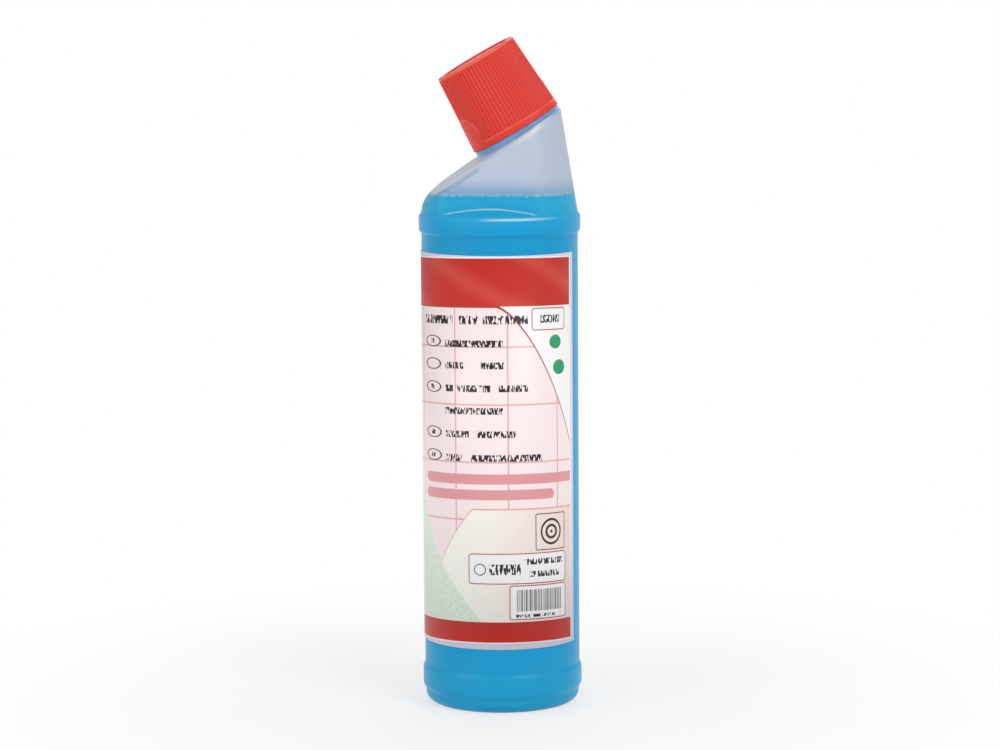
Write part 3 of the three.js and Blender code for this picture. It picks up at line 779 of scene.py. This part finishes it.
def milk_tone(n, x, z, froth):
    """Milky plastic over air, with froth at the level, painted shade towards the rear, a painted highlight
    rim and painted shade line along the chest and a painted highlight streak at the top.
    """
    color = n.mix(n.ramp(z, *MILK_FADE), MILK_LOW, MILK_HIGH)
    # Painted shade: the rear of the hood greyer
    color = n.mix(n.product(n.ramp(x, *REAR_SHADE_FADE), 0.3), color, MILK_REAR_SHADE)
    bubbles = n.product(n.ramp(froth, 0.5, 0.62), n.ramp(z, *FROTH_FADE))
    color = n.mix(n.product(bubbles, 0.6), color, FROTH_WHITE)
    chest_top = NECK_BASE - FLOOR_ACROSS * (COLLAR_RADIUS + CHEST_MARGIN)
    chest_axis = np.array([-math.sin(CHEST_SLOPE), 0.0, math.cos(CHEST_SLOPE)])
    chest = plane_distance(n, x, z, chest_axis, chest_top)
    front = n.ramp(x, *CHEST_FADE)
    # Painted shade line, then painted highlight rim, along the chest's rounded edge
    color = n.mix(n.product(n.band(chest, *CHEST_SHADE_LINE), front, 0.55), color, MILK_SHADE_LINE)
    color = n.mix(n.product(n.ramp(chest, *CHEST_HIGHLIGHT_RIM), front, 0.8), color, MILK_EDGE_HIGHLIGHT)
    # Painted highlight streak along the hood's rounded top edge
    floor = plane_distance(n, x, z, FLOOR_AXIS, NECK_BASE)
    streak = n.product(n.band(floor, *HIGHLIGHT_STREAK_BAND), n.band(x, *HIGHLIGHT_STREAK_REACH))
    return n.mix(n.product(streak, 0.85), color, MILK_HIGHLIGHT_WHITE)


# Where the blue band under the cap lies: partly the collar's thicker plastic, partly painted shade of the
# cap
def collar_shade_mask(n, x, y, z):
    tall = plane_distance(n, x, z, NECK_AXIS, NECK_BASE)
    out = n.length(plane_distance(n, x, z, NECK_ACROSS, NECK_BASE), y)
    return n.product(n.ramp(tall, *COLLAR_SHADE_FOOT), n.band(out, *COLLAR_SHADE_BAND))


def shell_material():
    n = Nodes("bottle_shell")
    place = n.place()
    x, y, z = n.millimetres()
    froth = n.noise(place, FROTH_SCALE, 2.0, 0.6)
    level = n.math("MULTIPLY_ADD", n.math("SUBTRACT", froth, 0.5), FROTH_SWING, z)
    above = n.ramp(level, *LEVEL_FADE)
    milk = n.mix(collar_shade_mask(n, x, y, z), milk_tone(n, x, z, froth), COLLAR_SHADE_BLUE)
    color = n.mix(above, liquid_tone(n, x, y, z), milk)
    grain = n.noise(place, 1400.0, 2.0)
    waves = n.noise(place, 90.0, 1.0)
    bump = n.bump(n.math("ADD", n.math("MULTIPLY", grain, 0.25), waves), 0.12, 0.4 * MM)
    solid = n.shader(Base_Color=color, Roughness=0.34, IOR=1.3, Subsurface_Weight=0.35,
                     Subsurface_Scale=0.004, Normal=bump)
    solid.inputs["Subsurface Radius"].default_value = (1.0, 1.0, 1.0)
    clear = n.shader(Base_Color=(0.95, 0.97, 1.0), Roughness=0.38, IOR=1.45, Transmission_Weight=1.0,
                     Normal=bump)
    see = n.math("MULTIPLY", above, 0.25)
    surface = n.node("ShaderNodeMixShader", {0: see, 1: solid.outputs[0], 2: clear.outputs[0]})
    return n.finish(surface.outputs[0])


def liquid_material():
    n = Nodes("liquid")
    foam = n.ramp(n.noise(n.place(), 420.0, 3.0, 0.7), 0.5, 0.62)
    color = n.mix(n.math("MULTIPLY", foam, 0.35), srgb(60, 160, 208), srgb(170, 215, 232))
    bump = n.bump(foam, 0.2, 0.3 * MM)
    shader = n.shader(Base_Color=color, Roughness=0.12, IOR=1.34, Normal=bump)
    return n.finish(shader.outputs[0])


# Cap

CAP_RED = srgb(224, 46, 28)
CAP_RED_PALE = srgb(232, 58, 38)
# Painted shade in the rib grooves, painted highlights on the band's edge, the pads' arches and the top rim
GROOVE_SHADE_RED = srgb(186, 34, 24)
LIP_HIGHLIGHT_PEACH = srgb(246, 118, 96)


def rib_shade(n):
    """Masks of painted shade in the grooves between the ribs and of painted highlights on the lips and the
    top rim.
    """
    x, y, z = n.millimetres()
    side = plane_distance(n, x, z, NECK_ACROSS, NECK_BASE)
    up = plane_distance(n, x, z, NECK_AXIS, NECK_BASE)
    band_top = CAP_BOTTOM + BAND_HEIGHT
    arch_low = CAP_BOTTOM + PAD_HEIGHT - PAD_HALF_WIDTH
    angle = n.math("ARCTAN2", y, side)
    wave = n.math("SINE", n.math("MULTIPLY", angle, RIB_COUNT / 2))
    turn = n.math("ARCSINE", n.math("ABSOLUTE", n.math("SINE", n.math("SUBTRACT", angle, PAD_ANGLE))))
    across = n.math("MULTIPLY", turn, CAP_RADIUS - CAP_TAPER / 4)
    arch = n.math("MAXIMUM", n.math("SUBTRACT", up, arch_low), 0.0)
    reach = n.length(across, arch)
    above_band = n.ramp(up, band_top, band_top + 0.5)
    below_top = n.ramp(up, CAP_TOP - CAP_EDGE_RADIUS, CAP_TOP - 2.4)
    beside_pad = n.ramp(reach, PAD_HALF_WIDTH, PAD_HALF_WIDTH + 0.5)
    # Where painted shade darkens the grooves between the ribs
    groove = n.product(wave, wave, beside_pad, above_band, below_top)
    # Painted highlights on the band's top edge and on the pads' arches
    band_lip_highlight = n.product(n.band(up, band_top - 0.5, band_top - 0.1, band_top, band_top + 0.3),
                         n.ramp(reach, PAD_HALF_WIDTH, PAD_HALF_WIDTH + 0.4))
    pad_lip_highlight = n.product(n.band(reach, PAD_HALF_WIDTH - 0.5, PAD_HALF_WIDTH - 0.1,
                               PAD_HALF_WIDTH, PAD_HALF_WIDTH + 0.3),
                        n.ramp(up, CAP_BOTTOM + 6, CAP_BOTTOM + 9))
    top_radius = CAP_RADIUS - CAP_TAPER
    # Painted highlight on the rounded rim of the cap's top
    rim = n.product(n.ramp(up, CAP_TOP - 1.5, CAP_TOP - 0.6),
                    n.ramp(n.length(side, y), top_radius - 2.4, top_radius - 1.8))
    return groove, n.math("MAXIMUM", n.math("MAXIMUM", band_lip_highlight, pad_lip_highlight), rim)


def cap_material():
    n = Nodes("cap_plastic")
    place = n.place()
    color = n.mix(n.noise(place, 60.0, 2.0), CAP_RED, CAP_RED_PALE)
    groove, lip_highlight = rib_shade(n)
    # Painted shade in the grooves between the ribs
    color = n.mix(n.math("MULTIPLY", groove, 0.4), color, GROOVE_SHADE_RED)
    # Painted highlights on the band's edge, the pads' arches and the top rim
    color = n.mix(n.math("MULTIPLY", lip_highlight, 0.6), color, LIP_HIGHLIGHT_PEACH)
    grain = n.noise(place, 1500.0, 2.0)
    rough = n.math("MULTIPLY_ADD", grain, 0.1, 0.44)
    shader = n.shader(Base_Color=color, Roughness=rough, IOR=1.49, Subsurface_Weight=0.15,
                      Subsurface_Scale=0.001, Normal=n.bump(grain, 0.05, 0.1 * MM))
    shader.inputs["Subsurface Radius"].default_value = (1.0, 0.3, 0.2)
    return n.finish(shader.outputs[0])


def plain_plastic(name, color, roughness, grain_scale):
    n = Nodes(name)
    place = n.place()
    tone = n.mix(n.noise(place, 80.0, 2.0), tuple(0.94 * c for c in color), color)
    grain = n.noise(place, grain_scale, 3.0)
    rough = n.math("MULTIPLY_ADD", grain, 0.15, roughness)
    shader = n.shader(Base_Color=tone, Roughness=rough, Normal=n.bump(grain, 0.25, 0.1 * MM))
    return n.finish(shader.outputs[0])


# Label print, in millimetres. u runs around the label from the middle of the view, v is the height.

PRINT_ARCH = 2.0
HEADER_LOW, HEADER_HIGH = 175.6, 196.2
FOOTER_LOW, FOOTER_HIGH = 29.9, 38.8
PRINT_END = 36.0
VIEW_SHIFT = CAMERA_AZIMUTH * LABEL_OUTER
CHEST_SHIFT = math.pi / 2 * LABEL_OUTER
PRINT_REACH = PRINT_END - VIEW_SHIFT + CHEST_SHIFT
TILE_WIDTH, TILE_HEIGHT = 23.8, 24.9
INK = srgb(34, 30, 32)
LINE_RED = srgb(176, 66, 62)
LINE_PINK = srgb(232, 166, 170)
WHITE = srgb(255, 254, 255)
PAPER_BORDER = srgb(226, 226, 241)
PANEL_PINK = srgb(255, 238, 238)
BAR_PINK = srgb(231, 157, 162)
MARK_GREEN = srgb(52, 160, 112)
CREAM, CREAM_ROSE = srgb(255, 254, 246), srgb(250, 226, 218)
LEAF_GREEN, LEAF_PALE = srgb(214, 234, 214), srgb(244, 251, 238)
HEADER_RED, HEADER_LIGHT = srgb(206, 42, 32), srgb(232, 108, 92)
FOOTER_RED, FOOTER_DARK = srgb(214, 34, 24), srgb(196, 42, 28)
MASK_EDGE = 0.2
BAND_EDGE = 0.16

# Falling edge of the pink panel: where it starts, how wide and how deep it falls, and its bend
SWEEP_START, SWEEP_WIDTH, SWEEP_FALL, SWEEP_BEND = 50.1, 38.5, 60.3, 1.55
SWEEP_HALF_LINE = 0.55

# Tile lines of the panel
TILE_SHIFT_U, TILE_SHIFT_V = 20.7 + 8 * TILE_WIDTH, 16.1
GROUT_FADE = (0.42, 0.16)

# Green band and cream field
GREEN_START, GREEN_WIDTH, GREEN_TOP, GREEN_FALL, GREEN_BEND = 9.0, 37.0, 92.0, 56.0, 0.72
CREAM_TOP, CREAM_FOOT, CREAM_SLOPE = 88.0, 29.0, 1.5
CREAM_WAVE, CREAM_WAVE_RATE = 2.2, 0.16
CREAM_FADE = (30.0, 88.0)
CREAM_HALF_LINE = 0.3

# Streaks of the header
STREAK_SLANT, STREAK_PITCH, STREAK_START = 1.9, 23.0, 9.0

# Bars and boxes: left end, right end, bottom, top and, where rounded, the rounding
BARS = (
    (-41.0, PRINT_END, 98.9, 103.3, 2.1),
    (20.0, PRINT_END, 98.9, 103.3, 0.0),
    (-41.0, 24.8, 92.1, 96.5, 2.1),
)
BOXES = (
    (14.0, 31.8, 165.3, 174.6, 1.2),
    (-14.6, 31.7, 55.6, 68.6, 1.4),
    (3.4, 31.6, 39.9, 54.6, 1.0),
)
BOX_LINE = 0.45
RING_BOX = (15.3, 31.1, 69.9, 85.6, 0.3)
RING_BOX_LINE = 0.4
STRIPE_BOX = (6.4, 28.8, 43.4, 52.8)

# Ovals: middle and half sizes; the rings repeat by their pitch
RING_CORE = (23.2, 77.7, 1.4, 1.4)
RING_REACH = (23.2, 77.7, 5.6, 5.8)
RING_PITCH, RING_GAP = 1.3, 0.75
CIRCLE = (-9.6, 61.8, 2.5, 2.4)
GREEN_OVALS = ((26.0, 160.0, 3.4, 3.0), (28.2, 149.0, 3.6, 3.2))
MARK_HALF_LINE = 0.2

# Rows of plain word-like print on the near face: left end, right end, middle height, letter height
TITLE_ROW = (-41.5, 12.1, 169.8, 3.6)
TEXT_ROWS = (
    (-26.2, 2.4, 159.6, 2.9),
    (-26.2, 1.5, 150.2, 2.9),
    (-26.2, 11.9, 140.3, 2.9),
    (-26.2, 0.9, 130.6, 2.9),
    (-26.2, 6.9, 120.5, 2.9),
    (-26.2, 18.4, 110.2, 2.9),
)
BULLET_HEIGHTS = (160.4, 150.6, 140.6, 120.9, 110.9)
BULLET_U = -34.8
BULLET_SIZE = (5.6, 2.3)
BOX_ROWS = ((-5.5, 8.2, 61.8, 4.6), (10.0, 29.8, 65.0, 2.6), (12.0, 27.5, 59.6, 2.6))
CODE_ROW = (6.0, 29.0, 41.4, 1.3)
SHORT_ROW = (18.0, 28.4, 170.0, 3.4)
BULLET_ROW_HALF, BULLET_ROW_HEIGHT = 1.5, 2.1
WIDE_LETTERS, NARROW_LETTERS, SMALL_LETTERS = 1.15, 1.5, 2.0

# Block of small print on the far face
FAR_BLOCK = (-132.0, -74.0, 100.0, 168.0)
FAR_ROW_PITCH = 3.4
FAR_ROW_FADE = (0.47, 0.63)


class Print:
    """Masks over the label: each is 1 inside its shape and 0 outside, with a soft edge."""

    def __init__(self, nodes):
        self.n = nodes
        u, v, _ = nodes.parts(nodes.node("ShaderNodeTexCoord").outputs["UV"])
        self.u = nodes.math("MULTIPLY_ADD", u, 1 / MM, VIEW_SHIFT)
        raw = nodes.math("MULTIPLY", v, 1 / MM)
        turn = nodes.math("DIVIDE", self.u, LABEL_OUTER)
        arch = nodes.math("MULTIPLY", nodes.math("ABSOLUTE", nodes.math("COSINE", turn)), PRINT_ARCH)
        self.v = nodes.math("SUBTRACT", raw, arch)
        chest = nodes.math("ADD", self.u, CHEST_SHIFT - VIEW_SHIFT)
        self.away = nodes.math("ABSOLUTE", chest)
        self.near = nodes.ramp(chest, -0.1, 0.1)

    def soft(self, distance):
        """1 where distance is negative."""
        return self.n.ramp(distance, MASK_EDGE / 2, -MASK_EDGE / 2)

    def line(self, distance, half_width):
        """1 along the edge where distance is 0."""
        return self.soft(self.n.math("SUBTRACT", self.n.math("ABSOLUTE", distance), half_width))

    def both(self, *masks):
        return self.n.product(*masks)

    def any(self, *masks):
        joined = masks[0]
        for mask in masks[1:]:
            joined = self.n.math("MAXIMUM", joined, mask)
        return joined

    def box_distance(self, u0, u1, v0, v1, rounding=0.0):
        n = self.n
        off_u = n.math("ABSOLUTE", n.math("SUBTRACT", self.u, (u0 + u1) / 2))
        off_v = n.math("ABSOLUTE", n.math("SUBTRACT", self.v, (v0 + v1) / 2))
        du = n.math("SUBTRACT", off_u, (u1 - u0) / 2 - rounding)
        dv = n.math("SUBTRACT", off_v, (v1 - v0) / 2 - rounding)
        outer = n.length(n.math("MAXIMUM", du, 0.0), n.math("MAXIMUM", dv, 0.0))
        inner = n.math("MINIMUM", n.math("MAXIMUM", du, dv), 0.0)
        return n.math("SUBTRACT", n.math("ADD", outer, inner), rounding)

    def box(self, u0, u1, v0, v1, rounding=0.0):
        return self.soft(self.box_distance(u0, u1, v0, v1, rounding))

    def frame(self, u0, u1, v0, v1, rounding, line):
        """A box with an outline: its fill mask and its line mask."""
        distance = self.box_distance(u0, u1, v0, v1, rounding)
        return self.soft(distance), self.line(distance, line / 2)

    def oval(self, u, v, half_u, half_v):
        """Distance outside an oval, near enough at its edge."""
        n = self.n
        du = n.math("DIVIDE", n.math("SUBTRACT", self.u, u), half_u)
        dv = n.math("DIVIDE", n.math("SUBTRACT", self.v, v), half_v)
        return n.math("MULTIPLY", n.math("SUBTRACT", n.length(du, dv), 1.0), half_v)

    def between(self, value, low, high):
        half = BAND_EDGE / 2
        return self.n.band(value, low - half, low + half, high - half, high + half)

    def strokes(self, letter, row):
        """Uneven upright strokes with gaps between words: print that can't be read."""
        n = self.n
        fine = n.node("ShaderNodeCombineXYZ", {0: self.u, 1: n.math("MULTIPLY", self.v, 0.3), 2: row})
        upright = n.ramp(n.noise(fine.outputs[0], letter, 0.0), 0.42, 0.5)
        coarse = n.node("ShaderNodeCombineXYZ", {0: self.u, 1: row, 2: 0.0})
        word = n.ramp(n.noise(coarse.outputs[0], 0.17, 0.0), 0.33, 0.36)
        return n.math("MULTIPLY", upright, word)

    def words(self, rows, letter):
        masks = []
        for u0, u1, middle, height in rows:
            line = self.box(u0, u1, middle - height / 2, middle + height / 2, 0.2)
            masks.append(self.both(line, self.strokes(letter, middle)))
        return self.any(*masks)


def grout(n, place, shift, size):
    """1 on the lines between tiles of one size."""
    return n.ramp(n.math("PINGPONG", n.math("ADD", place, shift), size / 2), *GROUT_FADE)


def label_base(n, p):
    """Paper with its border, the tiled pink panel and the white field beside its falling sweep."""
    inside = n.ramp(p.away, PRINT_REACH + 0.1, PRINT_REACH - 0.1)
    paper = p.both(inside, p.between(p.v, FOOTER_LOW, HEADER_HIGH))
    rim = p.both(n.ramp(p.away, PRINT_REACH + 0.7, PRINT_REACH + 0.5),
                 p.between(p.v, FOOTER_LOW - 0.6, HEADER_HIGH + 0.6))
    color = n.mix(rim, PAPER_BORDER, WHITE)
    past = n.math("MAXIMUM", n.math("SUBTRACT", p.away, SWEEP_START), 0.0)
    fall = n.math("MULTIPLY", n.math("POWER", n.math("DIVIDE", past, SWEEP_WIDTH), SWEEP_BEND), SWEEP_FALL)
    sweep = n.math("SUBTRACT", p.v, n.math("SUBTRACT", HEADER_LOW, fall))
    panel = p.both(p.soft(sweep), paper)
    color = n.mix(panel, color, PANEL_PINK)
    lines = p.any(grout(n, p.u, TILE_SHIFT_U, TILE_WIDTH), grout(n, p.v, TILE_SHIFT_V, TILE_HEIGHT))
    color = n.mix(p.both(lines, panel), color, LINE_PINK)
    return n.mix(p.both(p.line(sweep, SWEEP_HALF_LINE), paper), color, LINE_RED), paper


def label_fields(n, p, color, paper):
    """A mottled green band that falls towards the foot and a cream field beside it, on both faces."""
    wave = n.math("MULTIPLY", n.math("SINE", n.math("MULTIPLY", p.away, CREAM_WAVE_RATE)), CREAM_WAVE)
    slope = n.math("SUBTRACT", n.math("MULTIPLY_ADD", p.away, CREAM_SLOPE, CREAM_FOOT), wave)
    cream = n.math("SUBTRACT", p.v, n.math("MINIMUM", slope, CREAM_TOP))
    tone = n.mix(n.ramp(p.away, *CREAM_FADE), CREAM, CREAM_ROSE)
    color = n.mix(p.both(p.soft(cream), paper), color, tone)
    color = n.mix(p.both(p.line(cream, CREAM_HALF_LINE), paper), color, LINE_PINK)
    past = n.math("MAXIMUM", n.math("SUBTRACT", p.away, GREEN_START), 0.0)
    fall = n.math("POWER", n.math("DIVIDE", past, GREEN_WIDTH), GREEN_BEND)
    green_top = n.math("MULTIPLY_ADD", fall, -GREEN_FALL, GREEN_TOP)
    green = p.both(p.soft(n.math("SUBTRACT", p.v, green_top)), paper)
    place = n.node("ShaderNodeCombineXYZ", {0: p.u, 1: p.v, 2: 0.0}).outputs[0]
    mottle = n.ramp(n.noise(place, 0.9, 3.0, 0.6), 0.3, 0.7)
    return n.mix(green, color, n.mix(mottle, LEAF_GREEN, LEAF_PALE))


def ring_motif(n, p):
    """Rings around a dot."""
    ripple = n.math("PINGPONG", p.oval(*RING_CORE), RING_PITCH)
    return p.soft(n.math("MAXIMUM", n.math("SUBTRACT", RING_GAP, ripple), p.oval(*RING_REACH)))


def stripe_code(n, p):
    """Uneven upright stripes that encode nothing."""
    along = n.node("ShaderNodeCombineXYZ", {0: p.u, 1: 0.0, 2: 0.0}).outputs[0]
    return p.both(p.box(*STRIPE_BOX), n.ramp(n.noise(along, 2.1, 2.0, 0.7), 0.48, 0.52))


def near_print(n, p, color):
    """Bars, boxes, marks and rows of the face that the photograph shows."""
    bars = p.any(*(p.box(*bar) for bar in BARS))
    color = n.mix(p.both(bars, p.near), color, BAR_PINK)
    for box in BOXES:
        fill, line = p.frame(*box, BOX_LINE)
        color = n.mix(p.both(fill, p.near), color, WHITE)
        color = n.mix(p.both(line, p.near), color, LINE_RED)
    _, ring_box = p.frame(*RING_BOX, RING_BOX_LINE)
    marks = [ring_box, ring_motif(n, p), p.line(p.oval(*CIRCLE), MARK_HALF_LINE), stripe_code(n, p)]
    bullet_rows = []
    for height in BULLET_HEIGHTS:
        marks.append(p.line(p.oval(BULLET_U, height, *BULLET_SIZE), MARK_HALF_LINE))
        left, right = BULLET_U - BULLET_ROW_HALF, BULLET_U + BULLET_ROW_HALF
        bullet_rows.append((left, right, height, BULLET_ROW_HEIGHT))
    marks.append(p.words([TITLE_ROW, BOX_ROWS[0]], WIDE_LETTERS))
    narrow = [*TEXT_ROWS, *bullet_rows, *BOX_ROWS[1:], CODE_ROW, SHORT_ROW]
    marks.append(p.words(narrow, NARROW_LETTERS))
    color = n.mix(p.both(p.any(*marks), p.near), color, INK)
    spots = p.any(*(p.soft(p.oval(*oval)) for oval in GREEN_OVALS))
    return n.mix(p.both(spots, p.near), color, MARK_GREEN)


def far_print(n, p, color):
    """Block of small print rows on the far face."""
    rows = n.ramp(n.math("PINGPONG", p.v, FAR_ROW_PITCH / 2), *FAR_ROW_FADE)
    row = n.math("FLOOR", n.math("DIVIDE", p.v, FAR_ROW_PITCH))
    small = p.both(rows, p.box(*FAR_BLOCK), p.strokes(SMALL_LETTERS, row))
    return n.mix(small, color, INK)


def label_bands(n, p, color, paper):
    """Red header with soft lighter streaks, and the red footer."""
    header = p.both(paper, p.between(p.v, HEADER_LOW, HEADER_HIGH))
    footer = p.both(paper, p.between(p.v, FOOTER_LOW, FOOTER_HIGH))
    slant = n.math("MULTIPLY_ADD", p.v, STREAK_SLANT, p.away)
    streak = n.ramp(n.math("PINGPONG", slant, STREAK_PITCH), STREAK_START, STREAK_PITCH)
    color = n.mix(header, color, n.mix(n.math("MULTIPLY", streak, 0.3), HEADER_RED, HEADER_LIGHT))
    low = n.mix(n.ramp(p.v, FOOTER_LOW, FOOTER_HIGH), FOOTER_RED, FOOTER_DARK)
    return n.mix(footer, color, low)


def label_material():
    n = Nodes("label_film")
    p = Print(n)
    color, paper = label_base(n, p)
    color = label_fields(n, p, color, paper)
    color = near_print(n, p, color)
    color = far_print(n, p, color)
    color = label_bands(n, p, color, paper)
    grain = n.noise(n.place(), 900.0, 2.0)
    shader = n.shader(Base_Color=color, Roughness=0.36, IOR=1.46, Normal=n.bump(grain, 0.05, 0.1 * MM))
    return n.finish(shader.outputs[0])


# Pieces on their bodies

def dress(piece, material, body, slot, *nodes):
    piece.data.materials.append(material)
    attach(piece, body)
    if nodes:
        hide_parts(*nodes)


shell_plastic = shell_material()
red_plastic = cap_material()
dress(make_bottle(), shell_plastic, "bottle", "bottle_plastic", "bottle")
dress(make_liquid(), liquid_material(), "bottle", "liquid", "cleaning_liquid")
dress(make_thread(), shell_plastic, "bottle", "bottle_plastic")
dress(make_nozzle(), plain_plastic("nozzle_plastic", srgb(232, 234, 237), 0.3, 900.0), "bottle",
      "nozzle_plastic", "nozzle_insert")
dress(make_liner(), plain_plastic("liner_foam", srgb(240, 240, 236), 0.7, 1800.0), "liner",
      "liner_foam", "cap_liner")
dress(make_cap(), red_plastic, "cap", "cap_plastic", "cap")
dress(make_label(), label_material(), "bottle", "label_film", "wrap_label", "label_header_print",
      "label_footer_print", "label_panel_print", "label_wedge_print", "label_upper_bar_print",
      "label_lower_bar_print", "label_cream_print_near", "label_cream_print_far")


# Stage: plain pale floor, white surroundings and soft lamps

def shown_white(n, shader, strength):
    """Adds white for what the camera sees directly, or in gloss and through clear plastic."""
    path = n.node("ShaderNodeLightPath")
    seen = n.math("MAXIMUM", path.outputs["Is Camera Ray"],
                  n.math("MAXIMUM", path.outputs["Is Glossy Ray"], path.outputs["Is Transmission Ray"]))
    white = n.node("ShaderNodeEmission", {"Color": (1, 1, 1), "Strength": 1.0})
    mixed = n.node("ShaderNodeMixShader", {0: n.math("MULTIPLY", seen, strength), 1: shader,
                                           2: white.outputs[0]})
    return mixed.outputs[0]


WORLD_LIGHT = 0.56
FLOOR_REACH = 6000
FLOOR_WHITE_FADE = (0.05, 0.3)
FLOOR_WHITE_NEAR = 0.65
LAMP_TARGET = (0, 0, 0.15)

# Lamps: name, place, width and height, power
LAMPS = (
    ("key_lamp", (0.9, -1.3, 1.3), (0.9, 0.9), 13.5),
    ("fill_lamp", (-1.4, -0.9, 0.7), (0.8, 1.2), 6),
    ("back_lamp", (0.3, 1.5, 1.0), (1.2, 0.8), 6),
)


def make_floor():
    corners = [(x * FLOOR_REACH, y * FLOOR_REACH, 0) for x, y in ((-1, -1), (1, -1), (1, 1), (-1, 1))]
    obj = add_mesh("floor", corners, [(0, 1, 2, 3)])
    n = Nodes("floor")
    tone = n.mix(n.noise(n.place(), 3.0), (0.86, 0.86, 0.86), (0.88, 0.88, 0.88))
    shader = n.shader(Base_Color=tone, Roughness=0.8)
    x, y, _ = n.parts(n.place())
    far = n.ramp(n.length(x, y), *FLOOR_WHITE_FADE)
    share = n.math("MULTIPLY_ADD", far, 1 - FLOOR_WHITE_NEAR, FLOOR_WHITE_NEAR)
    obj.data.materials.append(n.finish(shown_white(n, shader.outputs[0], share)))


def make_world():
    world = bpy.data.worlds.new("world")
    bpy.context.scene.world = world
    world.use_nodes = True
    tree = world.node_tree
    tree.nodes.clear()
    path = tree.nodes.new("ShaderNodeLightPath")
    soft = tree.nodes.new("ShaderNodeBackground")
    soft.inputs[0].default_value = (1, 1, 1, 1)
    soft.inputs[1].default_value = WORLD_LIGHT
    white = tree.nodes.new("ShaderNodeBackground")
    white.inputs[0].default_value = (1, 1, 1, 1)
    white.inputs[1].default_value = 1.0
    seen = tree.nodes.new("ShaderNodeMath")
    seen.operation = "MAXIMUM"
    tree.links.new(path.outputs["Is Camera Ray"], seen.inputs[0])
    tree.links.new(path.outputs["Is Transmission Ray"], seen.inputs[1])
    mixed = tree.nodes.new("ShaderNodeMixShader")
    tree.links.new(seen.outputs[0], mixed.inputs[0])
    tree.links.new(soft.outputs[0], mixed.inputs[1])
    tree.links.new(white.outputs[0], mixed.inputs[2])
    output = tree.nodes.new("ShaderNodeOutputWorld")
    tree.links.new(mixed.outputs[0], output.inputs[0])


def soft_lamp(name, place, size, power):
    data = bpy.data.lights.new(name, "AREA")
    data.shape = "RECTANGLE"
    data.size, data.size_y = size
    data.energy = power
    lamp = bpy.data.objects.new(name, data)
    bpy.context.scene.collection.objects.link(lamp)
    aim = (Vector(LAMP_TARGET) - Vector(place)).to_track_quat("-Z", "Y")
    lamp.matrix_world = Matrix.Translation(place) @ aim.to_matrix().to_4x4()


make_floor()
make_world()
for lamp in LAMPS:
    soft_lamp(*lamp)
bpy.context.scene.view_settings.view_transform = "Standard"
